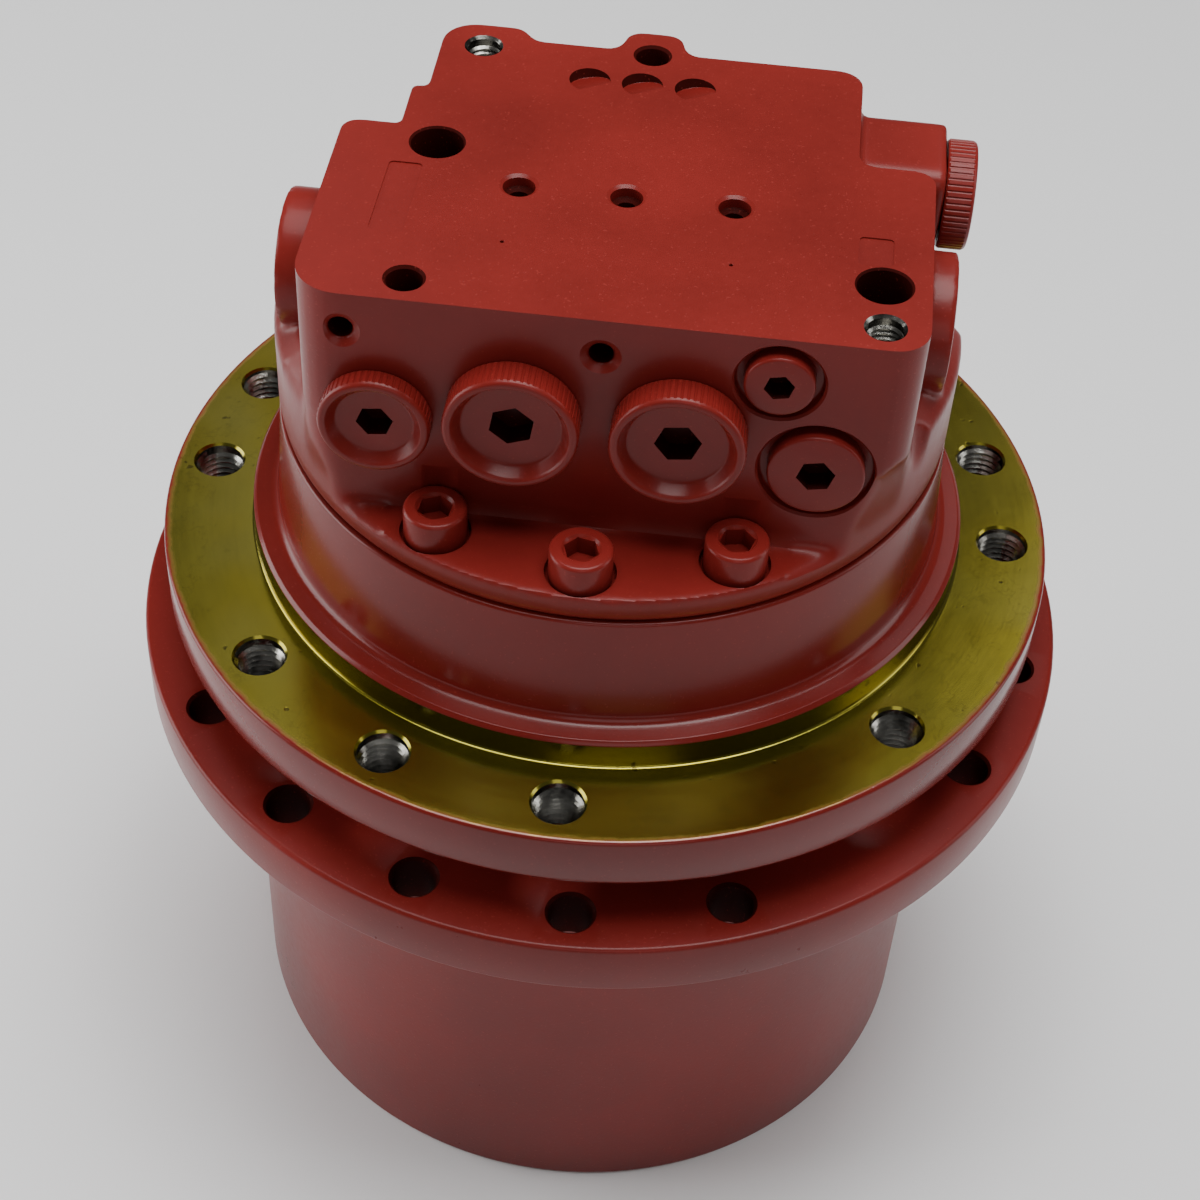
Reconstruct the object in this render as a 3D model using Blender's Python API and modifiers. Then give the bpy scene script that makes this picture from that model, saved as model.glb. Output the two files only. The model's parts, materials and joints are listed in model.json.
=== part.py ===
"""Excavator final drive: an axial piston motor with its valve block, and a two stage planetary hub.

Metres, +Z up. The drive stands on the open end of its hub, with the hub's axis on Z and the
front face of the valve block towards -Y. The named values below drive the whole model.
"""

from math import acos, atan2, cos, pi, radians, sin, tan

import bmesh
import bpy
from mathutils import Matrix, Vector

# Clearances
SEAT_GAP = 0.0003
RUN_GAP = 0.0006
OVERRUN = 0.002
THREAD_GAP = 0.0003
MERGE_GAP = 0.00001

# Facets of the round pieces
BIG_STEPS = 40
MID_STEPS = 20
SMALL_STEPS = 10
HOLE_STEPS = 8
CORNER_STEPS = 3
FACET_TURN = radians(6)

# Shaft, its bearings and the seal
SHAFT_R = 0.0105
SHAFT_LEAD = 0.0024
LOWER_SHAFT_BEARING_R = 0.026
LOWER_SHAFT_BEARING_W = 0.013
UPPER_SHAFT_BEARING_R = 0.020
UPPER_SHAFT_BEARING_W = 0.012
SHAFT_SEAL_R = 0.018
SHAFT_SEAL_H = 0.006

# Axial piston motor
PISTONS = 7
PISTON_CIRCLE_R = 0.031
PISTON_R = 0.0085
PISTON_BALL_R = 0.0060
PISTON_NECK_R = 0.0042
PISTON_L = 0.050
PISTON_OUT = 0.0174
SHOE_R = 0.0092
SHOE_T = 0.0045
SHOE_NECK_R = 0.0068
RETAINER_WALL = 0.0062
RETAINER_T = 0.0030
RETAINER_BORE_R = 0.0170
BLOCK_WALL = 0.0065
BLOCK_L = 0.0605
BLOCK_HEAD_T = 0.0105
KIDNEY_R = 0.0035
VALVE_PLATE_T = 0.0042
VALVE_PLATE_BORE_R = 0.0150
MOTOR_ROOM = 0.010
SWASH_ROOM = 0.004
SWASH_T = 0.0195
SWASH_BORE_R = 0.021

# Parking brake
BRAKE_BORE_STEP = 0.016
BRAKE_SEAT = 0.004
BRAKE_DISC_T = 0.0030
BRAKE_DISC_IN_GAP = 0.0004
BRAKE_DISC_OUT_GAP = 0.0060
BRAKE_PISTON_H = 0.024
BRAKE_PISTON_IN_GAP = 0.0060
BRAKE_PISTON_STEP = 0.0055
BRAKE_PISTON_LAND = 0.010

# Casing: the spindle round the motor chamber
SPINDLE_WALL = 0.012
SPINDLE_NECK_STEP = 0.008
SPINDLE_END_WALL = 0.009

# Main bearings and their ring nut
BEARING_SECTION = 0.020
BEARING_W = 0.022
BEARING_APART = 0.004
RACE_T = 0.0060
ROLLERS = 10
ROLLER_R = 0.0024
ROLLER_STEPS = 5
NUT_THREAD_STEP = 0.0020
NUT_WALL = 0.0105
NUT_H = 0.0070
NUT_RUNOUT = 0.0020
NUT_SLOTS = 4
NUT_SLOT_W = 0.008

# Floating seal
SEAL_POCKET_STEP = 0.0043
SEAL_LIP_T = 0.0037
SEAL_LIP_GAP = 0.0014
SEAL_RUBBER_ROOM = 0.0061
SEAL_RING_W = 0.0077
SEAL_RING_H = 0.0075
SEAL_CLEAR = 0.0010
SEAL_COLLAR_H = 0.0085

# Gears
MODULE = 0.00275
PRESSURE_ANGLE = radians(20)
ADDENDUM_SHARE = 0.90
DEDENDUM_SHARE = 1.15
FLANK_GAP = 0.00009
FLANK_POINTS = 2
RING_TEETH = 60
SUN_1_TEETH = 12
PLANET_1_TEETH = 24
SUN_2_TEETH = 18
PLANET_2_TEETH = 21
PLANETS = 3
RING_CLEAR = 0.004
PINION_LEAD = 0.003
STAGE_1_W = 0.022
STAGE_2_W = 0.033
STAGES_APART = 0.0055
SPINDLE_CLEAR = 0.001
PIN_1_R = 0.008
PIN_2_R = 0.010
CARRIER_WALL = 0.0045
CARRIER_T = 0.0075
SUN_2_BORE_R = 0.0135
SUN_2_NECK_R = 0.019

# End cover
COVER_STEP = 0.0020
COVER_T = 0.0110
COVER_RECESS = 0.0030
COVER_EDGE = 0.0010
COVER_PAD_R = 0.020
COVER_PAD_H = 0.006
RETAINER_RING_W = 0.0024
RETAINER_RING_DEPTH = 0.0022
RETAINER_RING_PROUD = 0.0022
FILL_PLUG_R = 0.0085
FILL_PLUG_CIRCLE_R = 0.058
FILL_PLUG_H = 0.0090
FILL_HEX_R = 0.0046
FILL_HEX_DEPTH = 0.0045

# Hub: neck, drum and sprocket flange
HUB_EDGE = 0.0012
NECK_WALL = 0.0066
NECK_STEP = 0.0015
NECK_H = 0.0110
SPROCKET_FLANGE_W = 0.02785
SPROCKET_FLANGE_T = 0.017
SPROCKET_HOLE_R = 0.006
SPROCKET_HOLE_IN = 0.01185
SPROCKET_PITCH = radians(20)
SPROCKET_FIRST = radians(-147.5)
SPROCKET_GROUP = 5

# Casing: frame flange, pilot and upper wall
POCKET_ROOF_T = 0.0045
FRAME_FLANGE_T = 0.0165
FRAME_FLANGE_W = 0.0253
PILOT_W = 0.0071
PILOT_H = 0.0087
CASING_WALL = 0.0206
CASING_DRAFT = 0.0021
CASING_EDGE = 0.0008
SPIGOT_L = 0.003
SPIGOT_STEP = 0.004
FRAME_HOLE_R = 0.0068
FRAME_HOLE_IN = 0.0125
FRAME_HOLE_ANGLES = [radians(a) for a in (-138.7, -114.4, -90, -41.4, 0, 18.5, 90, 161.5, 180)]

# Valve block: round base, flanks and cast body
BASE_T = 0.0080
BASE_EDGE = 0.0015
FLANK_RISE = 0.0015
BODY_H = 0.0644
BODY_LEFT = -0.0733
BODY_RIGHT = 0.0765
BODY_FRONT = -0.0640
BODY_BACK = 0.0520
EAR_LEFT = -0.0546
EAR_PROUD = 0.0056
MID_BOSS_X = 0.0014
MID_BOSS_PROUD = 0.0092
REAR_RIGHT = 0.0575
STEP_LEFT = 0.0075
STEP_RIGHT = 0.0090
STEP_R = 0.0055
TAB_LEFT = -0.0587
FRONT_LEFT_CORNER_R = 0.0115
FRONT_RIGHT_CORNER_R = 0.0085
CAST_R = 0.0045
SPOOL_Y = -0.0140
SPOOL_DROP = 0.0287
SPOOL_BOSS_R = 0.0178
SPOOL_BOSS_LEFT = -0.0874
SPOOL_BOSS_RIGHT = 0.0847
SPOOL_BORE_R = 0.0090
SPOOL_CAP_R = 0.0130
SPOOL_CAP_L = 0.0140
SPOOL_CAP_HEX_R = 0.0070
PILOT_Y = 0.0270
PILOT_DROP = 0.0180
PILOT_BOSS_R = 0.0140
PILOT_BOSS_DROP = 0.0045
PILOT_BOSS_END = 0.0805
PORT_MIDDLE_X = 0.0007
PORT_X = 0.0200
PORT_DROP = 0.0305
PORT_BORE_R = 0.0120
DRAIN_X = -0.0528
DRAIN_DROP = 0.0350
DRAIN_BORE_R = 0.0095
DRAIN_DEPTH = 0.032

# Ribbed port plugs
PORT_HEAD_R = 0.0165
PORT_HEAD_T = 0.0087
DRAIN_HEAD_R = 0.0138
DRAIN_HEAD_T = 0.0060
PILOT_HEAD_R = 0.0142
PILOT_HEAD_T = 0.0080
PLUG_RIBS = 16
PLUG_RIB_H = 0.0005
PLUG_RIM_W = 0.0024
PLUG_DISH_SHARE = 0.45
PLUG_HEX_R = 0.0057
PLUG_HEX_DEPTH = 0.0060
PLUG_SHANK_L = 0.0120

# Flush hex plugs, each in a shallow recess of the front wall
SMALL_PLUG_X = 0.0430
SMALL_PLUG_DROP = 0.0131
SMALL_PLUG_R = 0.00845
SMALL_PLUG_HEX_R = 0.0037
LARGE_PLUG_X = 0.0543
LARGE_PLUG_DROP = 0.0392
LARGE_PLUG_R = 0.0119
LARGE_PLUG_HEX_R = 0.0048
FLUSH_PLUG_PROUD = 0.0015
FLUSH_PLUG_RING = 0.0023
FLUSH_PLUG_RECESS = 0.0034
FLUSH_PLUG_NECK = 0.0013
FLUSH_PLUG_L = 0.0105

# Holes of the machined top face and of the front face
TAP_R = 0.0045
TAP_DEPTH = 0.018
FRONT_TAP_IN = 0.0084
LEFT_TAP_IN = 0.0264
RIGHT_TAP_IN = 0.0106
EAR_TAP_IN = Vector((0.0112, -0.0102))
MID_TAP_IN = 0.0106
BOLT_BORE_R = 0.0067
BOLT_BORE_DEPTH = 0.040
LEFT_BOLT_BORE_IN = 0.0250
LEFT_BOLT_BORE_Y = 0.0009
RIGHT_BOLT_BORE_IN = Vector((-0.0112, 0.0243))
GALLERY_R = 0.0026
GALLERY_SINK_R = 0.0041
GALLERY_SINK_DEPTH = 0.0030
GALLERY_DEPTH = 0.012
GALLERY_PITCH = 0.0267
GALLERY_MIDDLE_X = 0.0012
DIMPLE_R = 0.0031
DIMPLE_DEPTH = 0.0060
DIMPLE_DROP = 0.0107
LEFT_DIMPLE_X = -0.0611
MIDDLE_DIMPLE_X = 0.0008
MOON_R = 0.0055
MOON_DEPTH = 0.0022
MOON_PITCH = 0.01385
MOON_MIDDLE_X = 0.0003
MOON_Y = 0.0355
MOON_TILT = radians(20)

# Cap screws on the block's ledge
SCREW_IN = 0.0095
SCREW_ANGLES = [radians(a) for a in (-117.5, -90, -62.5, 62.5, 117.5)]
SCREW_HEAD_R = 0.0080
SCREW_HEAD_H = 0.0100
SCREW_R = 0.0050
SCREW_L = 0.0220
SCREW_SINK = 0.0023
SCREW_SPOT_R = 0.0090
SCREW_HEX_R = 0.0045
SCREW_HEX_DEPTH = 0.0055
SCREW_EDGE = 0.0009

# Counterbalance spool and its springs
SPOOL_LAND_R = 0.0087
SPOOL_GROOVE_R = 0.0055
SPOOL_STEM_R = 0.0038
SPOOL_HALF = 0.0420
SPOOL_LAND_SHARES = (1.0, 0.72, 0.46, 0.20)
SPOOL_STROKE = 0.0040
STEM_L = 0.0120
SPRING_WIRE_R = 0.0009
SPRING_R = 0.0066
SPRING_TURNS = 4
SPRING_TURN_POINTS = 8

# Radii worked out from the sizes above, from the shaft outwards
UP = Vector((0, 0, 1))
BLOCK_R = PISTON_CIRCLE_R + PISTON_R + BLOCK_WALL
RETAINER_R = PISTON_CIRCLE_R + SHOE_NECK_R + RETAINER_WALL
MOTOR_BORE_R = BLOCK_R + MOTOR_ROOM
SWASH_R = MOTOR_BORE_R - SWASH_ROOM
SPIGOT_R = MOTOR_BORE_R + SPIGOT_STEP
BRAKE_BORE_R = MOTOR_BORE_R + BRAKE_BORE_STEP
BRAKE_DISC_IN_R = BLOCK_R + BRAKE_DISC_IN_GAP
BRAKE_DISC_OUT_R = BRAKE_BORE_R - BRAKE_DISC_OUT_GAP
BRAKE_PISTON_IN_R = BLOCK_R + BRAKE_PISTON_IN_GAP
BRAKE_PISTON_SMALL_R = BRAKE_BORE_R - BRAKE_PISTON_STEP
SPINDLE_R = MOTOR_BORE_R + SPINDLE_WALL
SPINDLE_NECK_R = SPINDLE_R + SPINDLE_NECK_STEP
NUT_THREAD_R = SPINDLE_R - NUT_THREAD_STEP
NUT_R = NUT_THREAD_R + NUT_WALL
BEARING_R = SPINDLE_R + BEARING_SECTION
HUB_SHOULDER_R = BEARING_R - RACE_T
COVER_R = BEARING_R + COVER_STEP
SEAL_POCKET_R = BEARING_R + SEAL_POCKET_STEP
SEAL_LIP_R = SEAL_POCKET_R + SEAL_LIP_T
HUB_SEAL_R = SEAL_LIP_R + SEAL_LIP_GAP
SEAL_RING_R = SEAL_POCKET_R - SEAL_RUBBER_ROOM
SEAL_RING_IN_R = SEAL_RING_R - SEAL_RING_W
HUB_NECK_R = HUB_SEAL_R + NECK_WALL
DRUM_R = HUB_NECK_R + NECK_STEP
SPROCKET_FLANGE_R = DRUM_R + SPROCKET_FLANGE_W
SPROCKET_CIRCLE_R = SPROCKET_FLANGE_R - SPROCKET_HOLE_IN
CASING_R = BRAKE_BORE_R + CASING_WALL
CASING_TOP_R = CASING_R - CASING_DRAFT
PILOT_R = CASING_R + PILOT_W
FRAME_FLANGE_R = PILOT_R + FRAME_FLANGE_W
FRAME_CIRCLE_R = FRAME_FLANGE_R - FRAME_HOLE_IN
BASE_R = CASING_TOP_R
SCREW_CIRCLE_R = BASE_R - SCREW_IN
PITCH_ANGLE_HALF = pi / RING_TEETH
CENTRES_1 = MODULE * (SUN_1_TEETH + PLANET_1_TEETH) / 2
CENTRES_2 = MODULE * (SUN_2_TEETH + PLANET_2_TEETH) / 2
CARRIER_R = CENTRES_1 + PIN_1_R + CARRIER_WALL
RING_PITCH_R = MODULE * RING_TEETH / 2
RING_TIP_R = RING_PITCH_R - MODULE * ADDENDUM_SHARE
PLANET_ANGLES = [2 * pi * i / PLANETS for i in range(PLANETS)]

# Heights worked out from the sizes above, from the end cover upwards
COVER_TOP = COVER_RECESS + COVER_T
SHAFT_END = COVER_TOP + COVER_PAD_H
RING_START = COVER_TOP + RING_CLEAR
STAGE_1_START = SHAFT_END + PINION_LEAD
STAGE_2_START = STAGE_1_START + STAGE_1_W + CARRIER_T + STAGES_APART
SPINDLE_END = STAGE_2_START + STAGE_2_W + SPINDLE_CLEAR
RING_END = SPINDLE_END + RING_CLEAR
LOWER_BEARING_Z = SPINDLE_END + NUT_RUNOUT + NUT_H
UPPER_BEARING_Z = LOWER_BEARING_Z + BEARING_W + BEARING_APART
SEAL_FACE = UPPER_BEARING_Z + BEARING_W + SEAL_CLEAR + SEAL_RING_H
SEAL_POCKET_TOP = SEAL_FACE + SEAL_RING_H + 2 * SEAL_CLEAR
HUB_TOP = SEAL_FACE + SEAL_COLLAR_H
SPROCKET_FLANGE_TOP = HUB_TOP - NECK_H
SPROCKET_FLANGE_BOTTOM = SPROCKET_FLANGE_TOP - SPROCKET_FLANGE_T
FRAME_FLANGE_BOTTOM = SEAL_POCKET_TOP + POCKET_ROOF_T
FRAME_FACE = FRAME_FLANGE_BOTTOM + FRAME_FLANGE_T
BRAKE_STEP = FRAME_FACE + BRAKE_SEAT
MOTOR_FLOOR = SPINDLE_END + SPINDLE_END_WALL + SHAFT_SEAL_H + LOWER_SHAFT_BEARING_W
SWASH_TOP = MOTOR_FLOOR + SEAT_GAP + SWASH_T
SHOE_TOP = SWASH_TOP + SEAT_GAP + SHOE_T
BLOCK_START = SHOE_TOP + PISTON_OUT
BLOCK_END = BLOCK_START + BLOCK_L
PISTON_BORE_END = BLOCK_END - BLOCK_HEAD_T
SPIGOT_END = BLOCK_END + VALVE_PLATE_T + 2 * SEAT_GAP
CASING_TOP = SPIGOT_END + SPIGOT_L
BASE_BOTTOM = CASING_TOP + SEAT_GAP
SHAFT_TOP = BASE_BOTTOM + UPPER_SHAFT_BEARING_W + SHAFT_LEAD
LEDGE = BASE_BOTTOM + BASE_T
BODY_TOP = LEDGE + BODY_H
SPOOL_Z = BODY_TOP - SPOOL_DROP
FLANK_TOP = SPOOL_Z - SPOOL_BOSS_R + FLANK_RISE
PILOT_Z = BODY_TOP - PILOT_DROP
PORT_Z = BODY_TOP - PORT_DROP
DRAIN_Z = BODY_TOP - DRAIN_DROP
SMALL_PLUG_Z = BODY_TOP - SMALL_PLUG_DROP
LARGE_PLUG_Z = BODY_TOP - LARGE_PLUG_DROP

# Places on the top face, worked out from the body's edges
EAR_BACK = BODY_BACK + EAR_PROUD
MID_BOSS_BACK = BODY_BACK + MID_BOSS_PROUD
EAR_TAP = Vector((EAR_LEFT, EAR_BACK)) + EAR_TAP_IN
MID_TAP = Vector((MID_BOSS_X, MID_BOSS_BACK - MID_TAP_IN))
LEFT_TAP = Vector((BODY_LEFT + LEFT_TAP_IN, BODY_FRONT + FRONT_TAP_IN))
RIGHT_TAP = Vector((BODY_RIGHT - RIGHT_TAP_IN, BODY_FRONT + FRONT_TAP_IN))
LEFT_BOLT_BORE = Vector((BODY_LEFT + LEFT_BOLT_BORE_IN, LEFT_BOLT_BORE_Y))
RIGHT_BOLT_BORE = Vector((BODY_RIGHT, BODY_FRONT)) + RIGHT_BOLT_BORE_IN


# Collections

def new_collection(name, parent):
    made = bpy.data.collections.new(name)
    parent.children.link(made)
    return made


def clear_scene():
    for obj in list(bpy.data.objects):
        bpy.data.objects.remove(obj)


clear_scene()
SCENE_ROOT = bpy.context.scene.collection
PARTS = new_collection("final_drive", SCENE_ROOT)
CUTTERS = new_collection("cutters", SCENE_ROOT)


# Materials: one Principled finish for each kind of piece

def finish(name, colour, roughness, metallic):
    made = bpy.data.materials.new(name)
    made.use_nodes = True
    shader = made.node_tree.nodes["Principled BSDF"]
    shader.inputs["Base Color"].default_value = (*colour, 1)
    shader.inputs["Roughness"].default_value = roughness
    shader.inputs["Metallic"].default_value = metallic
    return made


FINISHES = {
    "red_paint": ((0.26, 0.018, 0.012), 0.32, 0.0),
    "gold_face": ((0.42, 0.34, 0.06), 0.30, 0.9),
    "ground_steel": ((0.55, 0.55, 0.54), 0.25, 1.0),
    "gear_steel": ((0.32, 0.31, 0.30), 0.38, 1.0),
    "bronze": ((0.55, 0.36, 0.14), 0.35, 1.0),
    "black_rubber": ((0.02, 0.02, 0.02), 0.75, 0.0),
}


def give_finish(obj, kind):
    obj.data.materials.clear()
    obj.data.materials.append(finish(f"{obj.name}_{kind}", *FINISHES[kind]))
    return obj


# Shape helpers

def add_object(name, data, home):
    obj = bpy.data.objects.new(name, data)
    home.objects.link(obj)
    return obj


def empty_at(name, place):
    obj = add_object(name, None, PARTS)
    obj.location = place
    return obj


def smooth(obj):
    if obj.type == "MESH":
        obj.data.shade_smooth()
        obj.data.set_sharp_from_angle(angle=radians(35))
    return obj


def as_cutter(obj):
    obj.hide_render = True
    obj.display_type = "WIRE"
    return obj


def turned(name, profile, steps=MID_STEPS, home=PARTS):
    """A (radius, height) profile, down its outer side, turned about Z; off the axis it closes on itself."""
    mesh = bpy.data.meshes.new(name)
    points = [(r, 0, z) for r, z in profile]
    count = len(points)
    closed = all(r > 0 for r, _ in profile)
    edges = [(i, (i + 1) % count) for i in range(count if closed else count - 1)]
    mesh.from_pydata(points, edges, [])
    obj = add_object(name, mesh, home)
    screw = obj.modifiers.new("turn", "SCREW")
    screw.steps = steps
    screw.render_steps = steps
    screw.use_merge_vertices = True
    screw.merge_threshold = MERGE_GAP
    screw.use_smooth_shade = False
    return obj


def ring_profile(inner, outer, bottom, top, edge=0):
    """The section of a plain ring with its outer corners chamfered by edge."""
    if not edge:
        return [(inner, top), (outer, top), (outer, bottom), (inner, bottom)]
    return [
        (inner, top),
        (outer - edge, top),
        (outer, top - edge),
        (outer, bottom + edge),
        (outer - edge, bottom),
        (inner, bottom),
    ]


def real_mesh(obj):
    """Makes a turned or curved object a plain closed mesh, so that Booleans can take it."""
    graph = bpy.context.evaluated_depsgraph_get()
    mesh = bpy.data.meshes.new_from_object(obj.evaluated_get(graph))
    shape = bmesh.new()
    shape.from_mesh(mesh)
    bmesh.ops.remove_doubles(shape, verts=shape.verts, dist=MERGE_GAP)
    if obj.type == "CURVE":
        bmesh.ops.dissolve_limit(
            shape, angle_limit=radians(0.1), verts=shape.verts, edges=shape.edges
        )
    centres = [v for v in shape.verts if v.co.x == 0 and v.co.y == 0]
    bmesh.ops.dissolve_verts(shape, verts=centres)
    shape.to_mesh(mesh)
    shape.free()
    name = obj.name
    home = obj.users_collection[0]
    matrix = obj.matrix_world.copy()
    bpy.data.objects.remove(obj)
    made = add_object(name, mesh, home)
    made.matrix_world = matrix
    return made


def cylinder(name, radius, length, centre, axis=UP, steps=HOLE_STEPS, home=CUTTERS, end_radius=None):
    """A closed cylinder or cone round its centre; end_radius is the radius at the axis's far end.

    Its facets are turned a little, so that their corners stay off the corners of what it cuts.
    """
    mesh = bpy.data.meshes.new(name)
    shape = bmesh.new()
    bmesh.ops.create_cone(
        shape,
        cap_ends=True,
        segments=steps,
        radius1=radius,
        radius2=radius if end_radius is None else end_radius,
        depth=length,
    )
    turn = Vector(axis).to_track_quat("Z", "Y").to_matrix().to_4x4()
    matrix = Matrix.Translation(centre) @ turn @ Matrix.Rotation(FACET_TURN, 4, "Z")
    bmesh.ops.transform(shape, matrix=matrix, verts=shape.verts)
    shape.to_mesh(mesh)
    shape.free()
    return add_object(name, mesh, home)


def box(name, size, centre, turn=0, home=CUTTERS):
    mesh = bpy.data.meshes.new(name)
    shape = bmesh.new()
    bmesh.ops.create_cube(shape, size=1)
    matrix = Matrix.Rotation(turn, 4, "Z") @ Matrix.Translation(centre) @ Matrix.Diagonal((*size, 1))
    bmesh.ops.transform(shape, matrix=matrix, verts=shape.verts)
    shape.to_mesh(mesh)
    shape.free()
    return add_object(name, mesh, home)


def drill(name, radius, mouth, into, depth, steps=HOLE_STEPS):
    """A hole of this depth from its mouth, along the direction into the material."""
    into = Vector(into).normalized()
    centre = Vector(mouth) + into * (depth - OVERRUN) / 2
    return cylinder(name, radius, depth + OVERRUN, centre, into, steps)


def extruded(name, loops, bottom, top, home=PARTS):
    """Flat closed outlines, the later ones as holes in the first, between two heights."""
    curve = bpy.data.curves.new(name, "CURVE")
    curve.dimensions = "2D"
    curve.fill_mode = "BOTH"
    curve.extrude = (top - bottom) / 2
    for loop in loops:
        spline = curve.splines.new("POLY")
        spline.points.add(len(loop) - 1)
        for point, (x, y) in zip(spline.points, loop):
            point.co = (x, y, 0, 1)
        spline.use_cyclic_u = True
    obj = add_object(name, curve, home)
    obj.location.z = (top + bottom) / 2
    bpy.context.view_layer.update()
    return obj


def round_clear(radius, steps):
    """The corner radius of a hole whose flat facets stay outside this radius."""
    return radius / cos(pi / steps)


def circle(radius, steps, turn=0.0, centre=(0, 0)):
    turns = [turn + 2 * pi * i / steps for i in range(steps)]
    return [(centre[0] + radius * cos(a), centre[1] + radius * sin(a)) for a in turns]


def rounded(corners):
    """An outline whose corners (x, y, radius) are rounded with short arcs."""
    outline = []
    count = len(corners)
    for i, (x, y, radius) in enumerate(corners):
        here = Vector((x, y))
        before = (Vector(corners[i - 1][:2]) - here).normalized()
        after = (Vector(corners[(i + 1) % count][:2]) - here).normalized()
        if not radius:
            outline.append((x, y))
            continue
        half = before.angle(after) / 2
        centre = here + (before + after).normalized() * radius / sin(half)
        start = here + before * radius / tan(half) - centre
        end = here + after * radius / tan(half) - centre
        sweep = start.angle_signed(end)
        for step in range(CORNER_STEPS + 1):
            angle = atan2(start.y, start.x) - sweep * step / CORNER_STEPS
            outline.append((centre.x + radius * cos(angle), centre.y + radius * sin(angle)))
    return outline


def boolean(obj, others, operation="DIFFERENCE"):
    for other in others:
        as_cutter(other)
        cut = obj.modifiers.new(other.name, "BOOLEAN")
        cut.operation = operation
        cut.object = other
        cut.solver = "EXACT"
    return obj


def polar(radius, angle, height=0.0):
    return Vector((radius * cos(angle), radius * sin(angle), height))


def ride(obj, parent):
    """Parents an object to the empty on its joint's axis, keeping it where it is."""
    bpy.context.view_layer.update()
    obj.parent = parent
    obj.matrix_parent_inverse = parent.matrix_world.inverted()
    return obj


# Involute gears

def involute(angle):
    return tan(angle) - angle


def gear_outline(teeth, tip_share, root_share, gap, turn=0.0):
    """A spur gear's outline with a tooth centred at turn; gap is taken off each flank."""
    pitch_r = MODULE * teeth / 2
    base_r = pitch_r * cos(PRESSURE_ANGLE)
    tip_r = pitch_r + MODULE * tip_share
    root_r = pitch_r - MODULE * root_share
    half_tooth = pi / (2 * teeth) - gap / pitch_r + involute(PRESSURE_ANGLE)
    start_r = max(base_r, root_r)
    flank = []
    for i in range(FLANK_POINTS):
        radius = start_r + (tip_r - start_r) * i / (FLANK_POINTS - 1)
        flank.append((radius, half_tooth - involute(acos(min(1, base_r / radius)))))
    flank[0] = (root_r, flank[0][1])
    tooth = [(r, -a) for r, a in flank] + [(r, a) for r, a in reversed(flank)]
    outline = []
    for i in range(teeth):
        middle = turn + 2 * pi * i / teeth
        outline += [(r * cos(middle + a), r * sin(middle + a)) for r, a in tooth]
    return outline


def outer_gear(teeth, turn=0.0):
    return gear_outline(teeth, ADDENDUM_SHARE, DEDENDUM_SHARE, FLANK_GAP, turn)


def ring_spaces():
    """The spaces of the ring gear, as the outline of the cutter that forms them."""
    return gear_outline(RING_TEETH, DEDENDUM_SHARE, ADDENDUM_SHARE, -FLANK_GAP, PITCH_ANGLE_HALF)


# Hub: drum, sprocket flange, ring gear and the seats inside, in one casting

def make_hub(axis):
    hub = turned(
        "hub",
        [
            (0, HUB_TOP),
            (HUB_NECK_R, HUB_TOP),
            (HUB_NECK_R, SPROCKET_FLANGE_TOP),
            (SPROCKET_FLANGE_R - HUB_EDGE, SPROCKET_FLANGE_TOP),
            (SPROCKET_FLANGE_R, SPROCKET_FLANGE_TOP - HUB_EDGE),
            (SPROCKET_FLANGE_R, SPROCKET_FLANGE_BOTTOM),
            (DRUM_R, SPROCKET_FLANGE_BOTTOM),
            (DRUM_R, HUB_EDGE),
            (DRUM_R - HUB_EDGE, 0),
            (0, 0),
        ],
        BIG_STEPS,
    )
    hub = real_mesh(hub)
    bore = turned(
        "hub_bore",
        [
            (0, HUB_TOP + OVERRUN),
            (HUB_SEAL_R, HUB_TOP + OVERRUN),
            (HUB_SEAL_R, SEAL_FACE),
            (SEAL_POCKET_R, SEAL_FACE),
            (SEAL_POCKET_R, UPPER_BEARING_Z + BEARING_W),
            (BEARING_R, UPPER_BEARING_Z + BEARING_W),
            (BEARING_R, UPPER_BEARING_Z),
            (HUB_SHOULDER_R, UPPER_BEARING_Z),
            (HUB_SHOULDER_R, LOWER_BEARING_Z + BEARING_W),
            (BEARING_R, LOWER_BEARING_Z + BEARING_W),
            (BEARING_R, RING_END),
            (RING_TIP_R - OVERRUN, RING_END),
            (RING_TIP_R - OVERRUN, RING_START),
            (COVER_R, RING_START),
            (COVER_R, -OVERRUN),
            (0, -OVERRUN),
        ],
        MID_STEPS,
        CUTTERS,
    )
    bore = real_mesh(bore)
    teeth = real_mesh(extruded("ring_teeth", [ring_spaces()], RING_START - OVERRUN, RING_END + OVERRUN, CUTTERS))
    cutters = [bore, teeth]
    places = range(round(2 * pi / SPROCKET_PITCH))
    for place in places:
        if place % (SPROCKET_GROUP + 1) == SPROCKET_GROUP:
            continue
        mouth = polar(SPROCKET_CIRCLE_R, SPROCKET_FIRST + place * SPROCKET_PITCH, SPROCKET_FLANGE_TOP)
        depth = SPROCKET_FLANGE_T + OVERRUN
        cutters.append(drill(f"sprocket_hole_{place}", SPROCKET_HOLE_R, mouth, -UP, depth))
    groove = turned(
        "retaining_ring_groove",
        ring_profile(
            COVER_R - OVERRUN, COVER_R + RETAINER_RING_DEPTH, COVER_RECESS - RETAINER_RING_W - SEAT_GAP, COVER_RECESS
        ),
        MID_STEPS,
        CUTTERS,
    )
    cutters.append(real_mesh(groove))
    boolean(hub, cutters)
    ride(give_finish(smooth(hub), "red_paint"), axis)


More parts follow.
